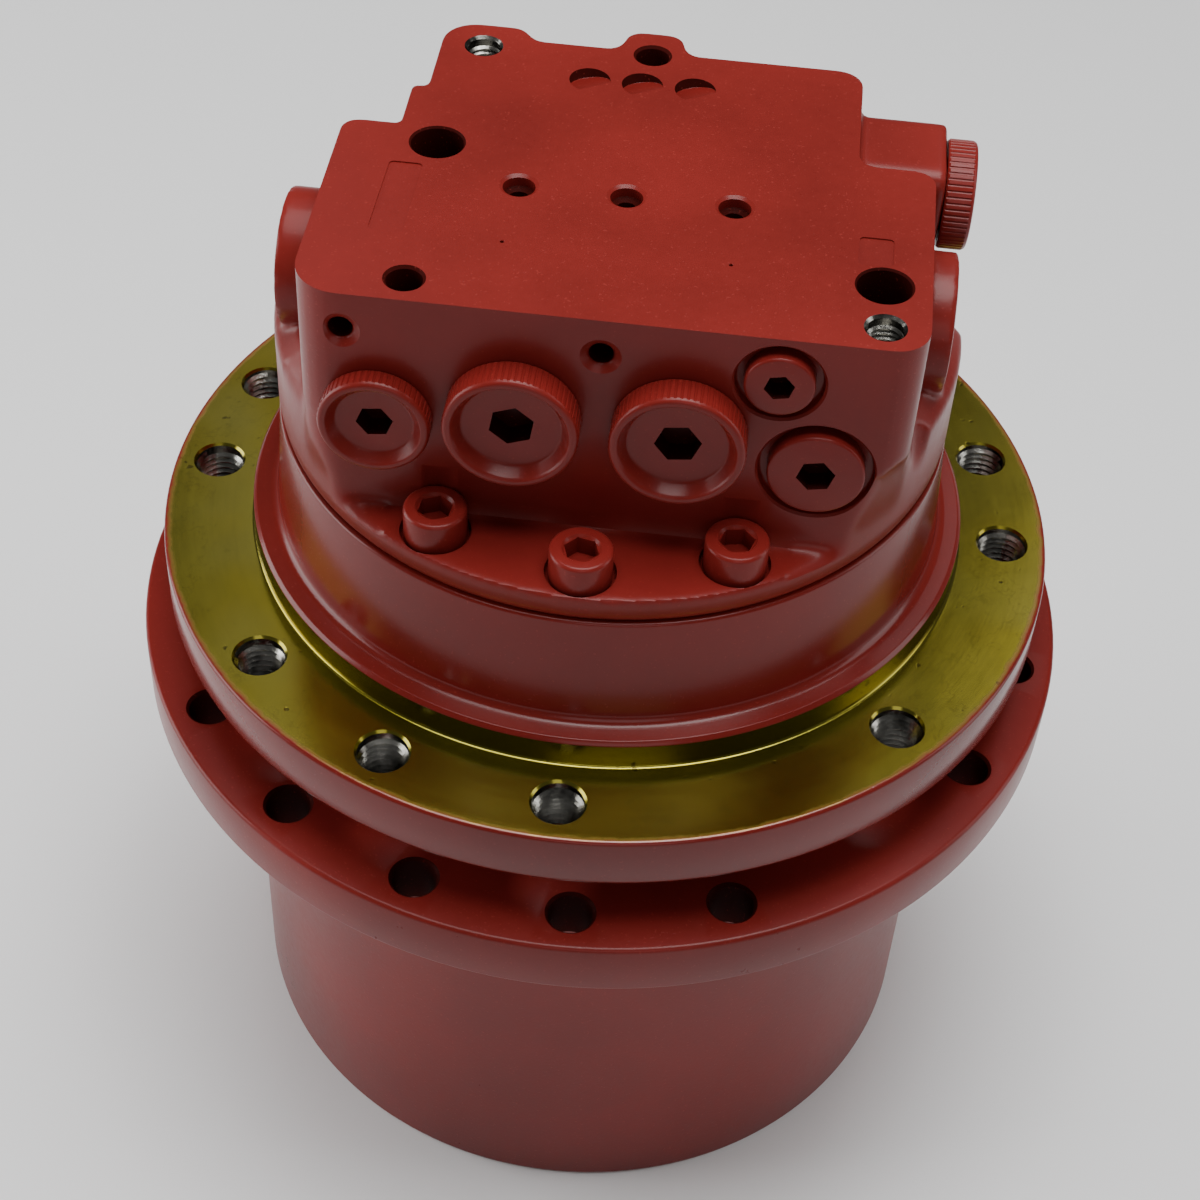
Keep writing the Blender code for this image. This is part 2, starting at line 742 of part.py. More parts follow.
def make_end_cover(axis):
    """A disc in the hub's end, with a pad under the shaft, held by a ring in a groove."""
    radius = COVER_R - SEAT_GAP
    cover = turned(
        "end_cover",
        [
            (0, SHAFT_END - SEAT_GAP),
            (COVER_PAD_R, SHAFT_END - SEAT_GAP),
            (COVER_PAD_R, COVER_TOP),
            (radius - COVER_EDGE, COVER_TOP),
            (radius, COVER_TOP - COVER_EDGE),
            (radius, COVER_RECESS + SEAT_GAP),
            (0, COVER_RECESS + SEAT_GAP),
        ],
    )
    cover = real_mesh(cover)
    cutters = []
    for name, angle in (("fill_plug", pi / 2), ("level_plug", -pi / 6)):
        mouth = polar(FILL_PLUG_CIRCLE_R, angle, COVER_RECESS)
        cutters.append(drill(f"{name}_hole", FILL_PLUG_R, mouth, UP, COVER_T + OVERRUN, SMALL_STEPS))
        plug = cylinder(
            name,
            FILL_PLUG_R - THREAD_GAP,
            FILL_PLUG_H,
            mouth + UP * (SEAT_GAP + FILL_PLUG_H / 2),
            UP,
            SMALL_STEPS,
            PARTS,
        )
        socket = drill(f"{name}_hex", FILL_HEX_R, mouth + UP * SEAT_GAP, UP, FILL_HEX_DEPTH, 6)
        ride(give_finish(smooth(boolean(plug, [socket])), "ground_steel"), axis)
    ride(give_finish(smooth(boolean(cover, cutters)), "red_paint"), axis)
    ring = turned(
        "cover_retaining_ring",
        ring_profile(
            COVER_R - RETAINER_RING_PROUD,
            COVER_R + RETAINER_RING_DEPTH - SEAT_GAP,
            COVER_RECESS - RETAINER_RING_W,
            COVER_RECESS - SEAT_GAP / 2,
        ),
    )
    ride(give_finish(smooth(ring), "ground_steel"), axis)


# Casing: frame flange above, spindle below, motor chamber and planet pins

def make_casing():
    lip = SEAL_FACE + RUN_GAP
    shaft_bearing_floor = MOTOR_FLOOR - LOWER_SHAFT_BEARING_W - 2 * SEAT_GAP
    shaft_seal_floor = shaft_bearing_floor - SHAFT_SEAL_H - 2 * SEAT_GAP
    casing = turned(
        "motor_casing",
        [
            (0, CASING_TOP),
            (CASING_TOP_R - CASING_EDGE, CASING_TOP),
            (CASING_TOP_R, CASING_TOP - CASING_EDGE),
            (CASING_R, FRAME_FACE + PILOT_H),
            (PILOT_R, FRAME_FACE + PILOT_H),
            (PILOT_R, FRAME_FACE),
            (FRAME_FLANGE_R - HUB_EDGE, FRAME_FACE),
            (FRAME_FLANGE_R, FRAME_FACE - HUB_EDGE),
            (FRAME_FLANGE_R, FRAME_FLANGE_BOTTOM + HUB_EDGE),
            (FRAME_FLANGE_R - HUB_EDGE, FRAME_FLANGE_BOTTOM),
            (SEAL_LIP_R, FRAME_FLANGE_BOTTOM),
            (SEAL_LIP_R, lip),
            (SEAL_POCKET_R, lip),
            (SEAL_POCKET_R, SEAL_POCKET_TOP),
            (0, SEAL_POCKET_TOP),
        ],
        BIG_STEPS,
    )
    casing = real_mesh(casing)
    spindle = turned(
        "spindle",
        [
            (0, FRAME_FACE),
            (SPINDLE_NECK_R, FRAME_FACE),
            (SPINDLE_NECK_R, UPPER_BEARING_Z + BEARING_W),
            (SPINDLE_R, UPPER_BEARING_Z + BEARING_W),
            (SPINDLE_R, LOWER_BEARING_Z),
            (NUT_THREAD_R, LOWER_BEARING_Z),
            (NUT_THREAD_R, SPINDLE_END),
            (0, SPINDLE_END),
        ],
        MID_STEPS,
        CUTTERS,
    )
    joined = [real_mesh(spindle)]
    for i, angle in enumerate(PLANET_ANGLES):
        length = SPINDLE_END - STAGE_2_START + 2 * OVERRUN
        centre = polar(CENTRES_2, angle, STAGE_2_START - OVERRUN + length / 2)
        joined.append(cylinder(f"spindle_pin_{i}", PIN_2_R, length, centre, UP, SMALL_STEPS))
    boolean(casing, joined, "UNION")
    chamber = turned(
        "motor_chamber",
        [
            (0, CASING_TOP + OVERRUN),
            (BRAKE_BORE_R, CASING_TOP + OVERRUN),
            (BRAKE_BORE_R, BRAKE_STEP),
            (MOTOR_BORE_R, BRAKE_STEP),
            (MOTOR_BORE_R, MOTOR_FLOOR),
            (LOWER_SHAFT_BEARING_R, MOTOR_FLOOR),
            (LOWER_SHAFT_BEARING_R, shaft_bearing_floor),
            (SHAFT_SEAL_R, shaft_bearing_floor),
            (SHAFT_SEAL_R, shaft_seal_floor),
            (SHAFT_R + 2 * RUN_GAP, shaft_seal_floor),
            (SHAFT_R + 2 * RUN_GAP, SPINDLE_END - OVERRUN),
            (0, SPINDLE_END - OVERRUN),
        ],
        MID_STEPS,
        CUTTERS,
    )
    cutters = [real_mesh(chamber)]
    for i, angle in enumerate(FRAME_HOLE_ANGLES):
        mouth = polar(FRAME_CIRCLE_R, angle, FRAME_FACE)
        cutters.append(drill(f"frame_hole_{i}", FRAME_HOLE_R, mouth, -UP, FRAME_FLANGE_T + OVERRUN))
    for i, angle in enumerate(SCREW_ANGLES):
        mouth = polar(SCREW_CIRCLE_R, angle, CASING_TOP)
        depth = SCREW_L - BASE_T
        cutters.append(drill(f"casing_thread_{i}", SCREW_R + THREAD_GAP, mouth, -UP, depth, SMALL_STEPS))
    boolean(casing, cutters)
    give_finish(smooth(casing), "red_paint")


# Bearings between spindle and hub

def make_main_bearing(name, bottom, lean, hub_axis, cage_axis):
    """Tapered roller bearing; lean is 1 where the rollers' big ends point up."""
    low = bottom + SEAT_GAP
    high = bottom + BEARING_W - SEAT_GAP
    outer_r = BEARING_R - SEAT_GAP
    inner_r = SPINDLE_R + SEAT_GAP
    taper = RACE_T / 4
    outer_top = outer_r - RACE_T - lean * taper * -1
    outer_bottom = outer_r - RACE_T - lean * taper
    inner_top = inner_r + RACE_T + lean * taper
    inner_bottom = inner_r + RACE_T - lean * taper
    outer = turned(
        f"{name}_outer_race", [(outer_top, high), (outer_r, high), (outer_r, low), (outer_bottom, low)]
    )
    ride(give_finish(smooth(outer), "ground_steel"), hub_axis)
    inner = turned(
        f"{name}_inner_race", [(inner_r, high), (inner_top, high), (inner_bottom, low), (inner_r, low)]
    )
    give_finish(smooth(inner), "ground_steel")
    middle_top = (outer_top + inner_top) / 2
    middle_bottom = (outer_bottom + inner_bottom) / 2
    cage_half = (outer_top - inner_top) / 2 - RUN_GAP
    thin = cage_half / 2
    end_top = high - RUN_GAP
    end_bottom = low + RUN_GAP
    cage = turned(
        f"{name}_roller_cage",
        [
            (middle_top - thin, end_top),
            (middle_top + thin, end_top),
            (middle_bottom + thin, end_bottom),
            (middle_bottom - thin, end_bottom),
        ],
    )
    cage = real_mesh(cage)
    rollers = []
    for i in range(ROLLERS):
        angle = 2 * pi * i / ROLLERS + pi / MID_STEPS
        top = polar(middle_top, angle, end_top - RUN_GAP)
        foot = polar(middle_bottom, angle, end_bottom + RUN_GAP)
        roller = cylinder(
            f"{name}_roller_{i}", ROLLER_R, (top - foot).length, (top + foot) / 2, top - foot, ROLLER_STEPS
        )
        rollers.append(roller)
    boolean(cage, rollers, "UNION")
    ride(give_finish(smooth(cage), "bronze"), cage_axis)


def make_ring_nut():
    top = LOWER_BEARING_Z
    nut = turned(
        "spindle_ring_nut",
        ring_profile(NUT_THREAD_R + THREAD_GAP, NUT_R, top - NUT_H, top - SEAT_GAP, 0),
    )
    nut = real_mesh(nut)
    slots = []
    depth = (NUT_R - NUT_THREAD_R) / 3
    for i in range(NUT_SLOTS):
        size = (2 * depth, NUT_SLOT_W, NUT_H + OVERRUN)
        centre = (NUT_R, 0, top - NUT_H / 2)
        slots.append(box(f"nut_slot_{i}", size, centre, 2 * pi * i / NUT_SLOTS))
    give_finish(smooth(boolean(nut, slots)), "gear_steel")


def make_floating_seal(hub_axis):
    """Two lapped metal rings face to face, each carried by a rubber ring in its pocket."""
    half = SEAT_GAP / 2
    cone = (SEAL_RING_R - SEAL_RING_IN_R) / 4
    rubber_r = (SEAL_RING_R - cone + SEAL_POCKET_R) / 2
    section_r = SEAL_POCKET_R - rubber_r - SEAT_GAP
    for name, side in (("casing", 1), ("hub", -1)):
        face = SEAL_FACE + side * half
        back = SEAL_FACE + side * SEAL_RING_H
        heights = (back, face) if side > 0 else (face, back)
        radii = (SEAL_RING_R - 2 * cone, SEAL_RING_R) if side > 0 else (SEAL_RING_R, SEAL_RING_R - 2 * cone)
        ring = turned(
            f"{name}_seal_ring",
            [
                (SEAL_RING_IN_R, heights[0]),
                (radii[0], heights[0]),
                (radii[1], heights[1]),
                (SEAL_RING_IN_R, heights[1]),
            ],
        )
        give_finish(smooth(ring), "ground_steel")
        middle = SEAL_FACE + side * (SEAL_RING_H / 2 + half)
        section = [(rubber_r + x, middle + z) for x, z in reversed(circle(section_r, 6))]
        rubber = give_finish(smooth(turned(f"{name}_seal_rubber", section)), "black_rubber")
        if side < 0:
            ride(ring, hub_axis)
            ride(rubber, hub_axis)


# Planetary gears

def make_planets(stage, teeth, centres, start, width, pin_r, tooth_in, parent_axis):
    """Three planets; tooth_in is true where a tooth, not a space, faces the sun."""
    for i, angle in enumerate(PLANET_ANGLES):
        inward = angle + pi
        turn = inward if tooth_in else inward + pi / teeth
        axis = empty_at(f"planet_axis_{stage}_{i + 1}", polar(centres, angle))
        ride(axis, parent_axis)
        bore_r = round_clear(pin_r + SEAT_GAP, SMALL_STEPS)
        loops = [outer_gear(teeth, turn), circle(bore_r, SMALL_STEPS)]
        planet = extruded(f"stage_{stage}_planet_{i + 1}", loops, start, start + width)
        planet.location.x = centres * cos(angle)
        planet.location.y = centres * sin(angle)
        ride(give_finish(planet, "gear_steel"), axis)


def make_first_carrier(axis):
    """The plate of the first stage, with its three pins below and the second sun above."""
    plate_bottom = STAGE_1_START + STAGE_1_W + SEAT_GAP
    plate_top = plate_bottom + CARRIER_T
    teeth_start = STAGE_2_START - OVERRUN
    carrier = turned(
        "first_stage_carrier",
        [
            (SUN_2_BORE_R, teeth_start + OVERRUN),
            (SUN_2_NECK_R, teeth_start + OVERRUN),
            (SUN_2_NECK_R, plate_top),
            (CARRIER_R, plate_top),
            (CARRIER_R, plate_bottom),
            (SUN_2_BORE_R, plate_bottom),
        ],
    )
    carrier = real_mesh(carrier)
    loops = [outer_gear(SUN_2_TEETH, pi / SUN_2_TEETH), circle(SUN_2_BORE_R + SEAT_GAP, SUN_2_TEETH)]
    sun = real_mesh(extruded("second_sun", loops, teeth_start, STAGE_2_START + STAGE_2_W, CUTTERS))
    joined = [sun]
    pin_end = STAGE_1_START - OVERRUN / 2
    for i, angle in enumerate(PLANET_ANGLES):
        length = plate_bottom + CARRIER_T / 2 - pin_end
        centre = polar(CENTRES_1, angle, pin_end + length / 2)
        joined.append(cylinder(f"carrier_pin_{i}", PIN_1_R, length, centre, UP, SMALL_STEPS))
    boolean(carrier, joined, "UNION")
    ride(give_finish(smooth(carrier), "gear_steel"), axis)


# Shaft and rotating group of the motor

def make_shaft(axis):
    shaft = turned(
        "drive_shaft",
        [
            (0, SHAFT_TOP),
            (SHAFT_R, SHAFT_TOP),
            (SHAFT_R, SHAFT_END + OVERRUN),
            (SHAFT_R - OVERRUN, SHAFT_END),
            (0, SHAFT_END),
        ],
        SMALL_STEPS,
    )
    shaft = real_mesh(shaft)
    end = STAGE_1_START + STAGE_1_W
    pinion = real_mesh(extruded("first_sun", [outer_gear(SUN_1_TEETH)], SHAFT_END + OVERRUN, end, CUTTERS))
    ride(give_finish(smooth(boolean(shaft, [pinion], "UNION")), "gear_steel"), axis)


def make_shaft_bearings():
    bottom = MOTOR_FLOOR - LOWER_SHAFT_BEARING_W - SEAT_GAP
    inner = SHAFT_R + SEAT_GAP
    lower = ring_profile(inner, LOWER_SHAFT_BEARING_R - SEAT_GAP, bottom, MOTOR_FLOOR - SEAT_GAP)
    give_finish(smooth(turned("lower_shaft_bearing", lower, MID_STEPS)), "ground_steel")
    bottom = BASE_BOTTOM
    top = bottom + UPPER_SHAFT_BEARING_W - SEAT_GAP
    upper = ring_profile(inner, UPPER_SHAFT_BEARING_R - SEAT_GAP, bottom, top)
    give_finish(smooth(turned("upper_shaft_bearing", upper, MID_STEPS)), "ground_steel")
    top = MOTOR_FLOOR - LOWER_SHAFT_BEARING_W - 3 * SEAT_GAP
    lip = ring_profile(inner, SHAFT_SEAL_R - SEAT_GAP, top - SHAFT_SEAL_H + SEAT_GAP, top)
    give_finish(smooth(turned("shaft_seal", lip, MID_STEPS)), "black_rubber")


def make_swash_plate():
    bottom = MOTOR_FLOOR + SEAT_GAP
    plate = turned(
        "swash_plate",
        [
            (SWASH_BORE_R, SWASH_TOP),
            (SWASH_R, SWASH_TOP),
            (SWASH_R, SWASH_TOP - SWASH_T / 2),
            (SWASH_R - SWASH_T / 2, bottom),
            (SWASH_BORE_R, bottom),
        ],
    )
    give_finish(smooth(plate), "ground_steel")


def make_pistons(axis):
    bottom = SWASH_TOP + SEAT_GAP
    neck_top = SHOE_TOP + PISTON_BALL_R
    profile = [
        (0, neck_top + PISTON_L),
        (PISTON_R, neck_top + PISTON_L),
        (PISTON_R, neck_top + PISTON_BALL_R),
        (PISTON_NECK_R, neck_top),
        (SHOE_NECK_R, SHOE_TOP + RETAINER_T / 2),
        (SHOE_NECK_R, SHOE_TOP),
        (SHOE_R, SHOE_TOP),
        (SHOE_R, bottom),
        (0, bottom),
    ]
    for i in range(PISTONS):
        angle = 2 * pi * i / PISTONS
        piston = turned(f"piston_{i + 1}", profile, HOLE_STEPS)
        piston.location = polar(PISTON_CIRCLE_R, angle)
        piston.rotation_euler.z = FACET_TURN
        ride(give_finish(smooth(piston), "ground_steel"), axis)


def make_retainer_plate(axis):
    hole_r = SHOE_NECK_R + RUN_GAP
    holes = [
        circle(hole_r, HOLE_STEPS, FACET_TURN, polar(PISTON_CIRCLE_R, 2 * pi * i / PISTONS)[:2])
        for i in range(PISTONS)
    ]
    bottom = SHOE_TOP + SEAT_GAP
    loops = [circle(RETAINER_R, MID_STEPS), circle(RETAINER_BORE_R, SMALL_STEPS), *holes]
    plate = extruded("shoe_retainer_plate", loops, bottom, bottom + RETAINER_T)
    ride(give_finish(plate, "bronze"), axis)


def make_cylinder_block(axis):
    block = turned(
        "cylinder_block",
        ring_profile(SHAFT_R + SEAT_GAP, BLOCK_R, BLOCK_START, BLOCK_END, CASING_EDGE),
    )
    block = real_mesh(block)
    cutters = []
    for i in range(PISTONS):
        foot = polar(PISTON_CIRCLE_R, 2 * pi * i / PISTONS, BLOCK_START)
        bore = PISTON_BORE_END - BLOCK_START
        cutters.append(drill(f"piston_bore_{i}", PISTON_R + SEAT_GAP, foot, UP, bore, HOLE_STEPS))
        head = foot + UP * (BLOCK_END - BLOCK_START)
        cutters.append(drill(f"piston_port_{i}", KIDNEY_R, head, -UP, BLOCK_END - BLOCK_START - bore + OVERRUN, 6))
    ride(give_finish(smooth(boolean(block, cutters)), "bronze"), axis)


def kidney(side):
    """A curved slot of the valve plate, on one side of the dead centres."""
    middle = pi / 2 + side * pi / 2
    half = pi / 3
    count = 4
    outer = [polar(PISTON_CIRCLE_R + KIDNEY_R, middle - half + 2 * half * i / count)[:2] for i in range(count + 1)]
    inner = [polar(PISTON_CIRCLE_R - KIDNEY_R, middle + half - 2 * half * i / count)[:2] for i in range(count + 1)]
    return outer + inner


def make_valve_plate():
    bottom = BLOCK_END + SEAT_GAP
    loops = [circle(BLOCK_R, MID_STEPS), circle(VALVE_PLATE_BORE_R, SMALL_STEPS), kidney(1), kidney(-1)]
    plate = extruded("valve_plate", loops, bottom, bottom + VALVE_PLATE_T)
    give_finish(plate, "bronze")


def make_brake(rotor_axis, brake_axis):
    bottom = BRAKE_STEP + SEAT_GAP
    top = bottom + BRAKE_DISC_T
    disc = turned("brake_disc", ring_profile(BRAKE_DISC_IN_R, BRAKE_DISC_OUT_R, bottom, top))
    ride(give_finish(smooth(disc), "bronze"), rotor_axis)
    foot = top + SEAT_GAP
    piston = turned(
        "brake_piston",
        [
            (BRAKE_PISTON_IN_R, foot + BRAKE_PISTON_H),
            (BRAKE_BORE_R - SEAT_GAP, foot + BRAKE_PISTON_H),
            (BRAKE_BORE_R - SEAT_GAP, foot + BRAKE_PISTON_H - BRAKE_PISTON_LAND),
            (BRAKE_PISTON_SMALL_R, foot + BRAKE_PISTON_H - BRAKE_PISTON_LAND),
            (BRAKE_PISTON_SMALL_R, foot),
            (BRAKE_PISTON_IN_R, foot),
        ],
    )
    ride(give_finish(smooth(piston), "gear_steel"), brake_axis)


# Valve block

def body_outline():
    """The cast body seen from above, counter-clockwise from the front left corner."""
    return rounded(
        [
            (BODY_LEFT, BODY_FRONT, FRONT_LEFT_CORNER_R),
            (BODY_RIGHT, BODY_FRONT, FRONT_RIGHT_CORNER_R),
            (BODY_RIGHT, STEP_RIGHT, STEP_R),
            (REAR_RIGHT, STEP_RIGHT, CAST_R),
            (REAR_RIGHT, BODY_BACK, 1.5 * CAST_R),
            (MID_TAP.x + 2 * CAST_R, BODY_BACK, CAST_R),
            (MID_TAP.x + 1.5 * CAST_R, MID_BOSS_BACK, CAST_R),
            (MID_TAP.x - 1.5 * CAST_R, MID_BOSS_BACK, CAST_R),
            (MID_TAP.x - 2 * CAST_R, BODY_BACK, CAST_R),
            (EAR_TAP.x + 3 * CAST_R, BODY_BACK, CAST_R),
            (EAR_TAP.x + 2 * CAST_R, EAR_BACK, CAST_R),
            (EAR_LEFT, EAR_BACK, 2 * CAST_R),
            (EAR_LEFT, STEP_LEFT + 4 * CAST_R, 0),
            (TAB_LEFT, STEP_LEFT + 4 * CAST_R, 0),
            (TAB_LEFT, STEP_LEFT, 0),
            (BODY_LEFT, STEP_LEFT, CAST_R),
        ]
    )


def hex_socket(name, radius, mouth, into, depth):
    return drill(name, radius, mouth, into, depth, 6)


def side_boss(name, radius, x_from, x_to, y, z):
    centre = ((x_from + x_to) / 2, y, z)
    return cylinder(name, radius, abs(x_to - x_from), centre, (1, 0, 0), MID_STEPS)


def pilot_boss():
    """The boss of the pilot port, flat above and round below, from inside the body to the port's face."""
    arc = [polar(PILOT_BOSS_R, pi + pi * i / SMALL_STEPS) for i in range(SMALL_STEPS + 1)]
    top = BODY_TOP - PILOT_BOSS_DROP - PILOT_Z
    corners = [(PILOT_BOSS_R, top, CAST_R), (-PILOT_BOSS_R, top, CAST_R)]
    outline = rounded(corners + [(point.x, point.y, 0) for point in arc])
    boss = real_mesh(extruded("pilot_boss", [outline], REAR_RIGHT / 2, PILOT_BOSS_END, CUTTERS))
    lay_down = Matrix(((0, 0, 1, 0), (1, 0, 0, PILOT_Y), (0, 1, 0, PILOT_Z), (0, 0, 0, 1)))
    boss.matrix_world = lay_down @ boss.matrix_world
    return boss


def top_hole(name, radius, place, depth, steps=HOLE_STEPS):
    return drill(name, radius, (place.x, place.y, BODY_TOP), -UP, depth, steps)


def front_hole(name, radius, x, z, depth, steps=SMALL_STEPS):
    return drill(name, radius, (x, BODY_FRONT, z), (0, 1, 0), depth, steps)


def body_holes():
    """Everything drilled in the valve block."""
    cuts = []
    for name, place in (("ear", EAR_TAP), ("mid", MID_TAP), ("left", LEFT_TAP), ("right", RIGHT_TAP)):
        cuts.append(top_hole(f"{name}_tap", TAP_R, place, TAP_DEPTH))
    for name, place in (("left", LEFT_BOLT_BORE), ("right", RIGHT_BOLT_BORE)):
        cuts.append(top_hole(f"{name}_bolt_bore", BOLT_BORE_R, place, BOLT_BORE_DEPTH, SMALL_STEPS))
    for i in (-1, 0, 1):
        place = Vector((GALLERY_MIDDLE_X + i * GALLERY_PITCH, SPOOL_Y))
        cuts.append(top_hole(f"gallery_{i}", GALLERY_R, place, GALLERY_DEPTH))
        cuts.append(top_hole(f"gallery_sink_{i}", GALLERY_SINK_R, place, GALLERY_SINK_DEPTH))
        mouth = Vector((MOON_MIDDLE_X + i * MOON_PITCH, MOON_Y, BODY_TOP))
        tilt = Vector((0, -sin(MOON_TILT), -cos(MOON_TILT)))
        cuts.append(drill(f"moon_{i}", MOON_R, mouth, tilt, MOON_DEPTH))
    for name, x in (("left", LEFT_DIMPLE_X), ("middle", MIDDLE_DIMPLE_X)):
        dimple_z = BODY_TOP - DIMPLE_DROP
        cuts.append(front_hole(f"{name}_dimple", DIMPLE_R, x, dimple_z, DIMPLE_DEPTH, HOLE_STEPS))
    for name, x in (("a", PORT_MIDDLE_X + PORT_X), ("b", PORT_MIDDLE_X - PORT_X)):
        depth = SPOOL_Y - BODY_FRONT
        cuts.append(front_hole(f"port_bore_{name}", PORT_BORE_R, x, PORT_Z, depth))
    cuts.append(front_hole("drain_bore", DRAIN_BORE_R, DRAIN_X, DRAIN_Z, DRAIN_DEPTH))
    for name, x, z, radius in flush_plugs():
        cuts.append(front_hole(f"{name}_recess", radius + FLUSH_PLUG_RING, x, z, FLUSH_PLUG_RECESS, MID_STEPS))
        thread_r = radius - FLUSH_PLUG_NECK + THREAD_GAP
        cuts.append(front_hole(f"{name}_bore", thread_r, x, z, FLUSH_PLUG_L + SEAT_GAP))
    right = (1, 0, 0)
    for end, name in ((SPOOL_BOSS_LEFT, "left"), (SPOOL_BOSS_RIGHT, "right")):
        into = Vector((-1, 0, 0)) if end > 0 else Vector(right)
        mouth = (end, SPOOL_Y, SPOOL_Z)
        cuts.append(drill(f"{name}_cap_bore", SPOOL_CAP_R, mouth, into, SPOOL_CAP_L, SMALL_STEPS))
    length = SPOOL_BOSS_RIGHT - SPOOL_BOSS_LEFT
    centre = ((SPOOL_BOSS_RIGHT + SPOOL_BOSS_LEFT) / 2, SPOOL_Y, SPOOL_Z)
    cuts.append(cylinder("spool_bore", SPOOL_BORE_R, length, centre, right, MID_STEPS))
    depth = PILOT_BOSS_END - REAR_RIGHT + 2 * PILOT_HEAD_R
    mouth = (PILOT_BOSS_END, PILOT_Y, PILOT_Z)
    cuts.append(drill("pilot_bore", DRAIN_BORE_R, mouth, (-1, 0, 0), depth, SMALL_STEPS))
    bearing = (0, 0, BASE_BOTTOM - OVERRUN)
    depth = UPPER_SHAFT_BEARING_W + OVERRUN
    cuts.append(drill("shaft_bearing_bore", UPPER_SHAFT_BEARING_R, bearing, UP, depth, MID_STEPS))
    depth = SHAFT_TOP - SPIGOT_END + OVERRUN
    cuts.append(drill("shaft_bore", SHAFT_R + OVERRUN, (0, 0, SPIGOT_END), UP, depth, SMALL_STEPS))
    for i, angle in enumerate(SCREW_ANGLES):
        place = polar(SCREW_CIRCLE_R, angle, LEDGE)
        head_room = SCREW_HEAD_H + SCREW_SINK
        centre = place + UP * (head_room / 2 - SCREW_SINK)
        cuts.append(cylinder(f"screw_spot_{i}", SCREW_SPOT_R, head_room, centre, UP, SMALL_STEPS))
        depth = BASE_T + OVERRUN
        cuts.append(drill(f"screw_hole_{i}", SCREW_R + THREAD_GAP, place, -UP, depth, SMALL_STEPS))
    return cuts


def ledge_cuts():
    """What is taken off the round base in front of the body and behind it, down to the ledge."""
    reach = BASE_R + OVERRUN
    height = FLANK_TOP + OVERRUN - LEDGE
    middle = LEDGE + height / 2
    front = BODY_FRONT + CAST_R
    back = SPOOL_Y + SPOOL_BOSS_R
    return [
        box("front_ledge", (2 * reach, front + reach, height), (0, (front - reach) / 2, middle)),
        box("back_ledge", (2 * reach, reach - back, height), (0, (reach + back) / 2, middle)),
    ]


def make_valve_block():
    block = turned(
        "valve_block",
        [
            (0, FLANK_TOP),
            (BASE_R - BASE_EDGE, FLANK_TOP),
            (BASE_R, FLANK_TOP - BASE_EDGE),
            (BASE_R, BASE_BOTTOM + CASING_EDGE),
            (BASE_R - CASING_EDGE, BASE_BOTTOM),
            (0, BASE_BOTTOM),
        ],
        BIG_STEPS,
    )
    block = real_mesh(block)
    boolean(block, ledge_cuts())
    body = real_mesh(extruded("cast_body", [body_outline()], BASE_BOTTOM + CASING_EDGE, BODY_TOP, CUTTERS))
    spool_boss = side_boss("spool_boss", SPOOL_BOSS_R, SPOOL_BOSS_LEFT, SPOOL_BOSS_RIGHT, SPOOL_Y, SPOOL_Z)
    spigot_l = LEDGE - SPIGOT_END - BASE_EDGE
    spigot = cylinder("spigot", SPIGOT_R, spigot_l, UP * (SPIGOT_END + spigot_l / 2), UP, MID_STEPS)
    boolean(block, [body, spigot, spool_boss, pilot_boss()], "UNION")
    boolean(block, body_holes())
    give_finish(smooth(block), "red_paint")


def make_cap_screws():
    seat = LEDGE - SCREW_SINK + SEAT_GAP
    top = seat + SCREW_HEAD_H
    profile = [
        (0, top),
        (SCREW_HEAD_R - SCREW_EDGE, top),
        (SCREW_HEAD_R, top - SCREW_EDGE),
        (SCREW_HEAD_R, seat),
        (SCREW_R, seat),
        (SCREW_R, LEDGE - SCREW_L + SCREW_EDGE),
        (0, LEDGE - SCREW_L + SCREW_EDGE),
    ]
    for i, angle in enumerate(SCREW_ANGLES):
        screw = turned(f"casing_screw_{i + 1}", profile, SMALL_STEPS)
        screw.location = polar(SCREW_CIRCLE_R, angle)
        screw = real_mesh(screw)
        place = polar(SCREW_CIRCLE_R, angle, top)
        boolean(screw, [hex_socket(f"casing_screw_hex_{i}", SCREW_HEX_R, place, -UP, SCREW_HEX_DEPTH)])
        give_finish(smooth(screw), "red_paint")


# Plugs

def ribbed_outline(radius):
    """A knurled rim: ribs and grooves by turns."""
    count = 2 * PLUG_RIBS
    return [
        polar(radius - PLUG_RIB_H * (i % 2), 2 * pi * i / count)[:2]
        for i in range(count)
    ]


def make_ribbed_plug(name, head_r, head_t, bore_r, seat, outward):
    """A port plug: ribbed head with a dished face and a hex socket, on a plain threaded shank."""
    outward = Vector(outward)
    head = real_mesh(extruded(name, [ribbed_outline(head_r)], SEAT_GAP, head_t))
    turn = outward.to_track_quat("Z", "Y").to_matrix().to_4x4()
    head.matrix_world = Matrix.Translation(seat) @ turn @ head.matrix_world
    shank = cylinder(
        f"{name}_shank",
        bore_r - THREAD_GAP,
        PLUG_SHANK_L + head_t / 2,
        Vector(seat) + outward * (head_t / 2 - PLUG_SHANK_L) / 2,
        -outward,
        SMALL_STEPS,
    )
    face = Vector(seat) + outward * head_t
    dish_depth = head_t * PLUG_DISH_SHARE
    dish_r = head_r - PLUG_RIM_W
    dish = cylinder(
        f"{name}_dish",
        dish_r,
        2 * dish_depth,
        face,
        outward,
        MID_STEPS,
        end_radius=dish_r + PLUG_RIM_W / 2,
    )
    socket = hex_socket(f"{name}_hex", PLUG_HEX_R, face - outward * dish_depth, -outward, PLUG_HEX_DEPTH)
    boolean(head, [shank], "UNION")
    boolean(head, [dish, socket])
    give_finish(smooth(head), "red_paint")


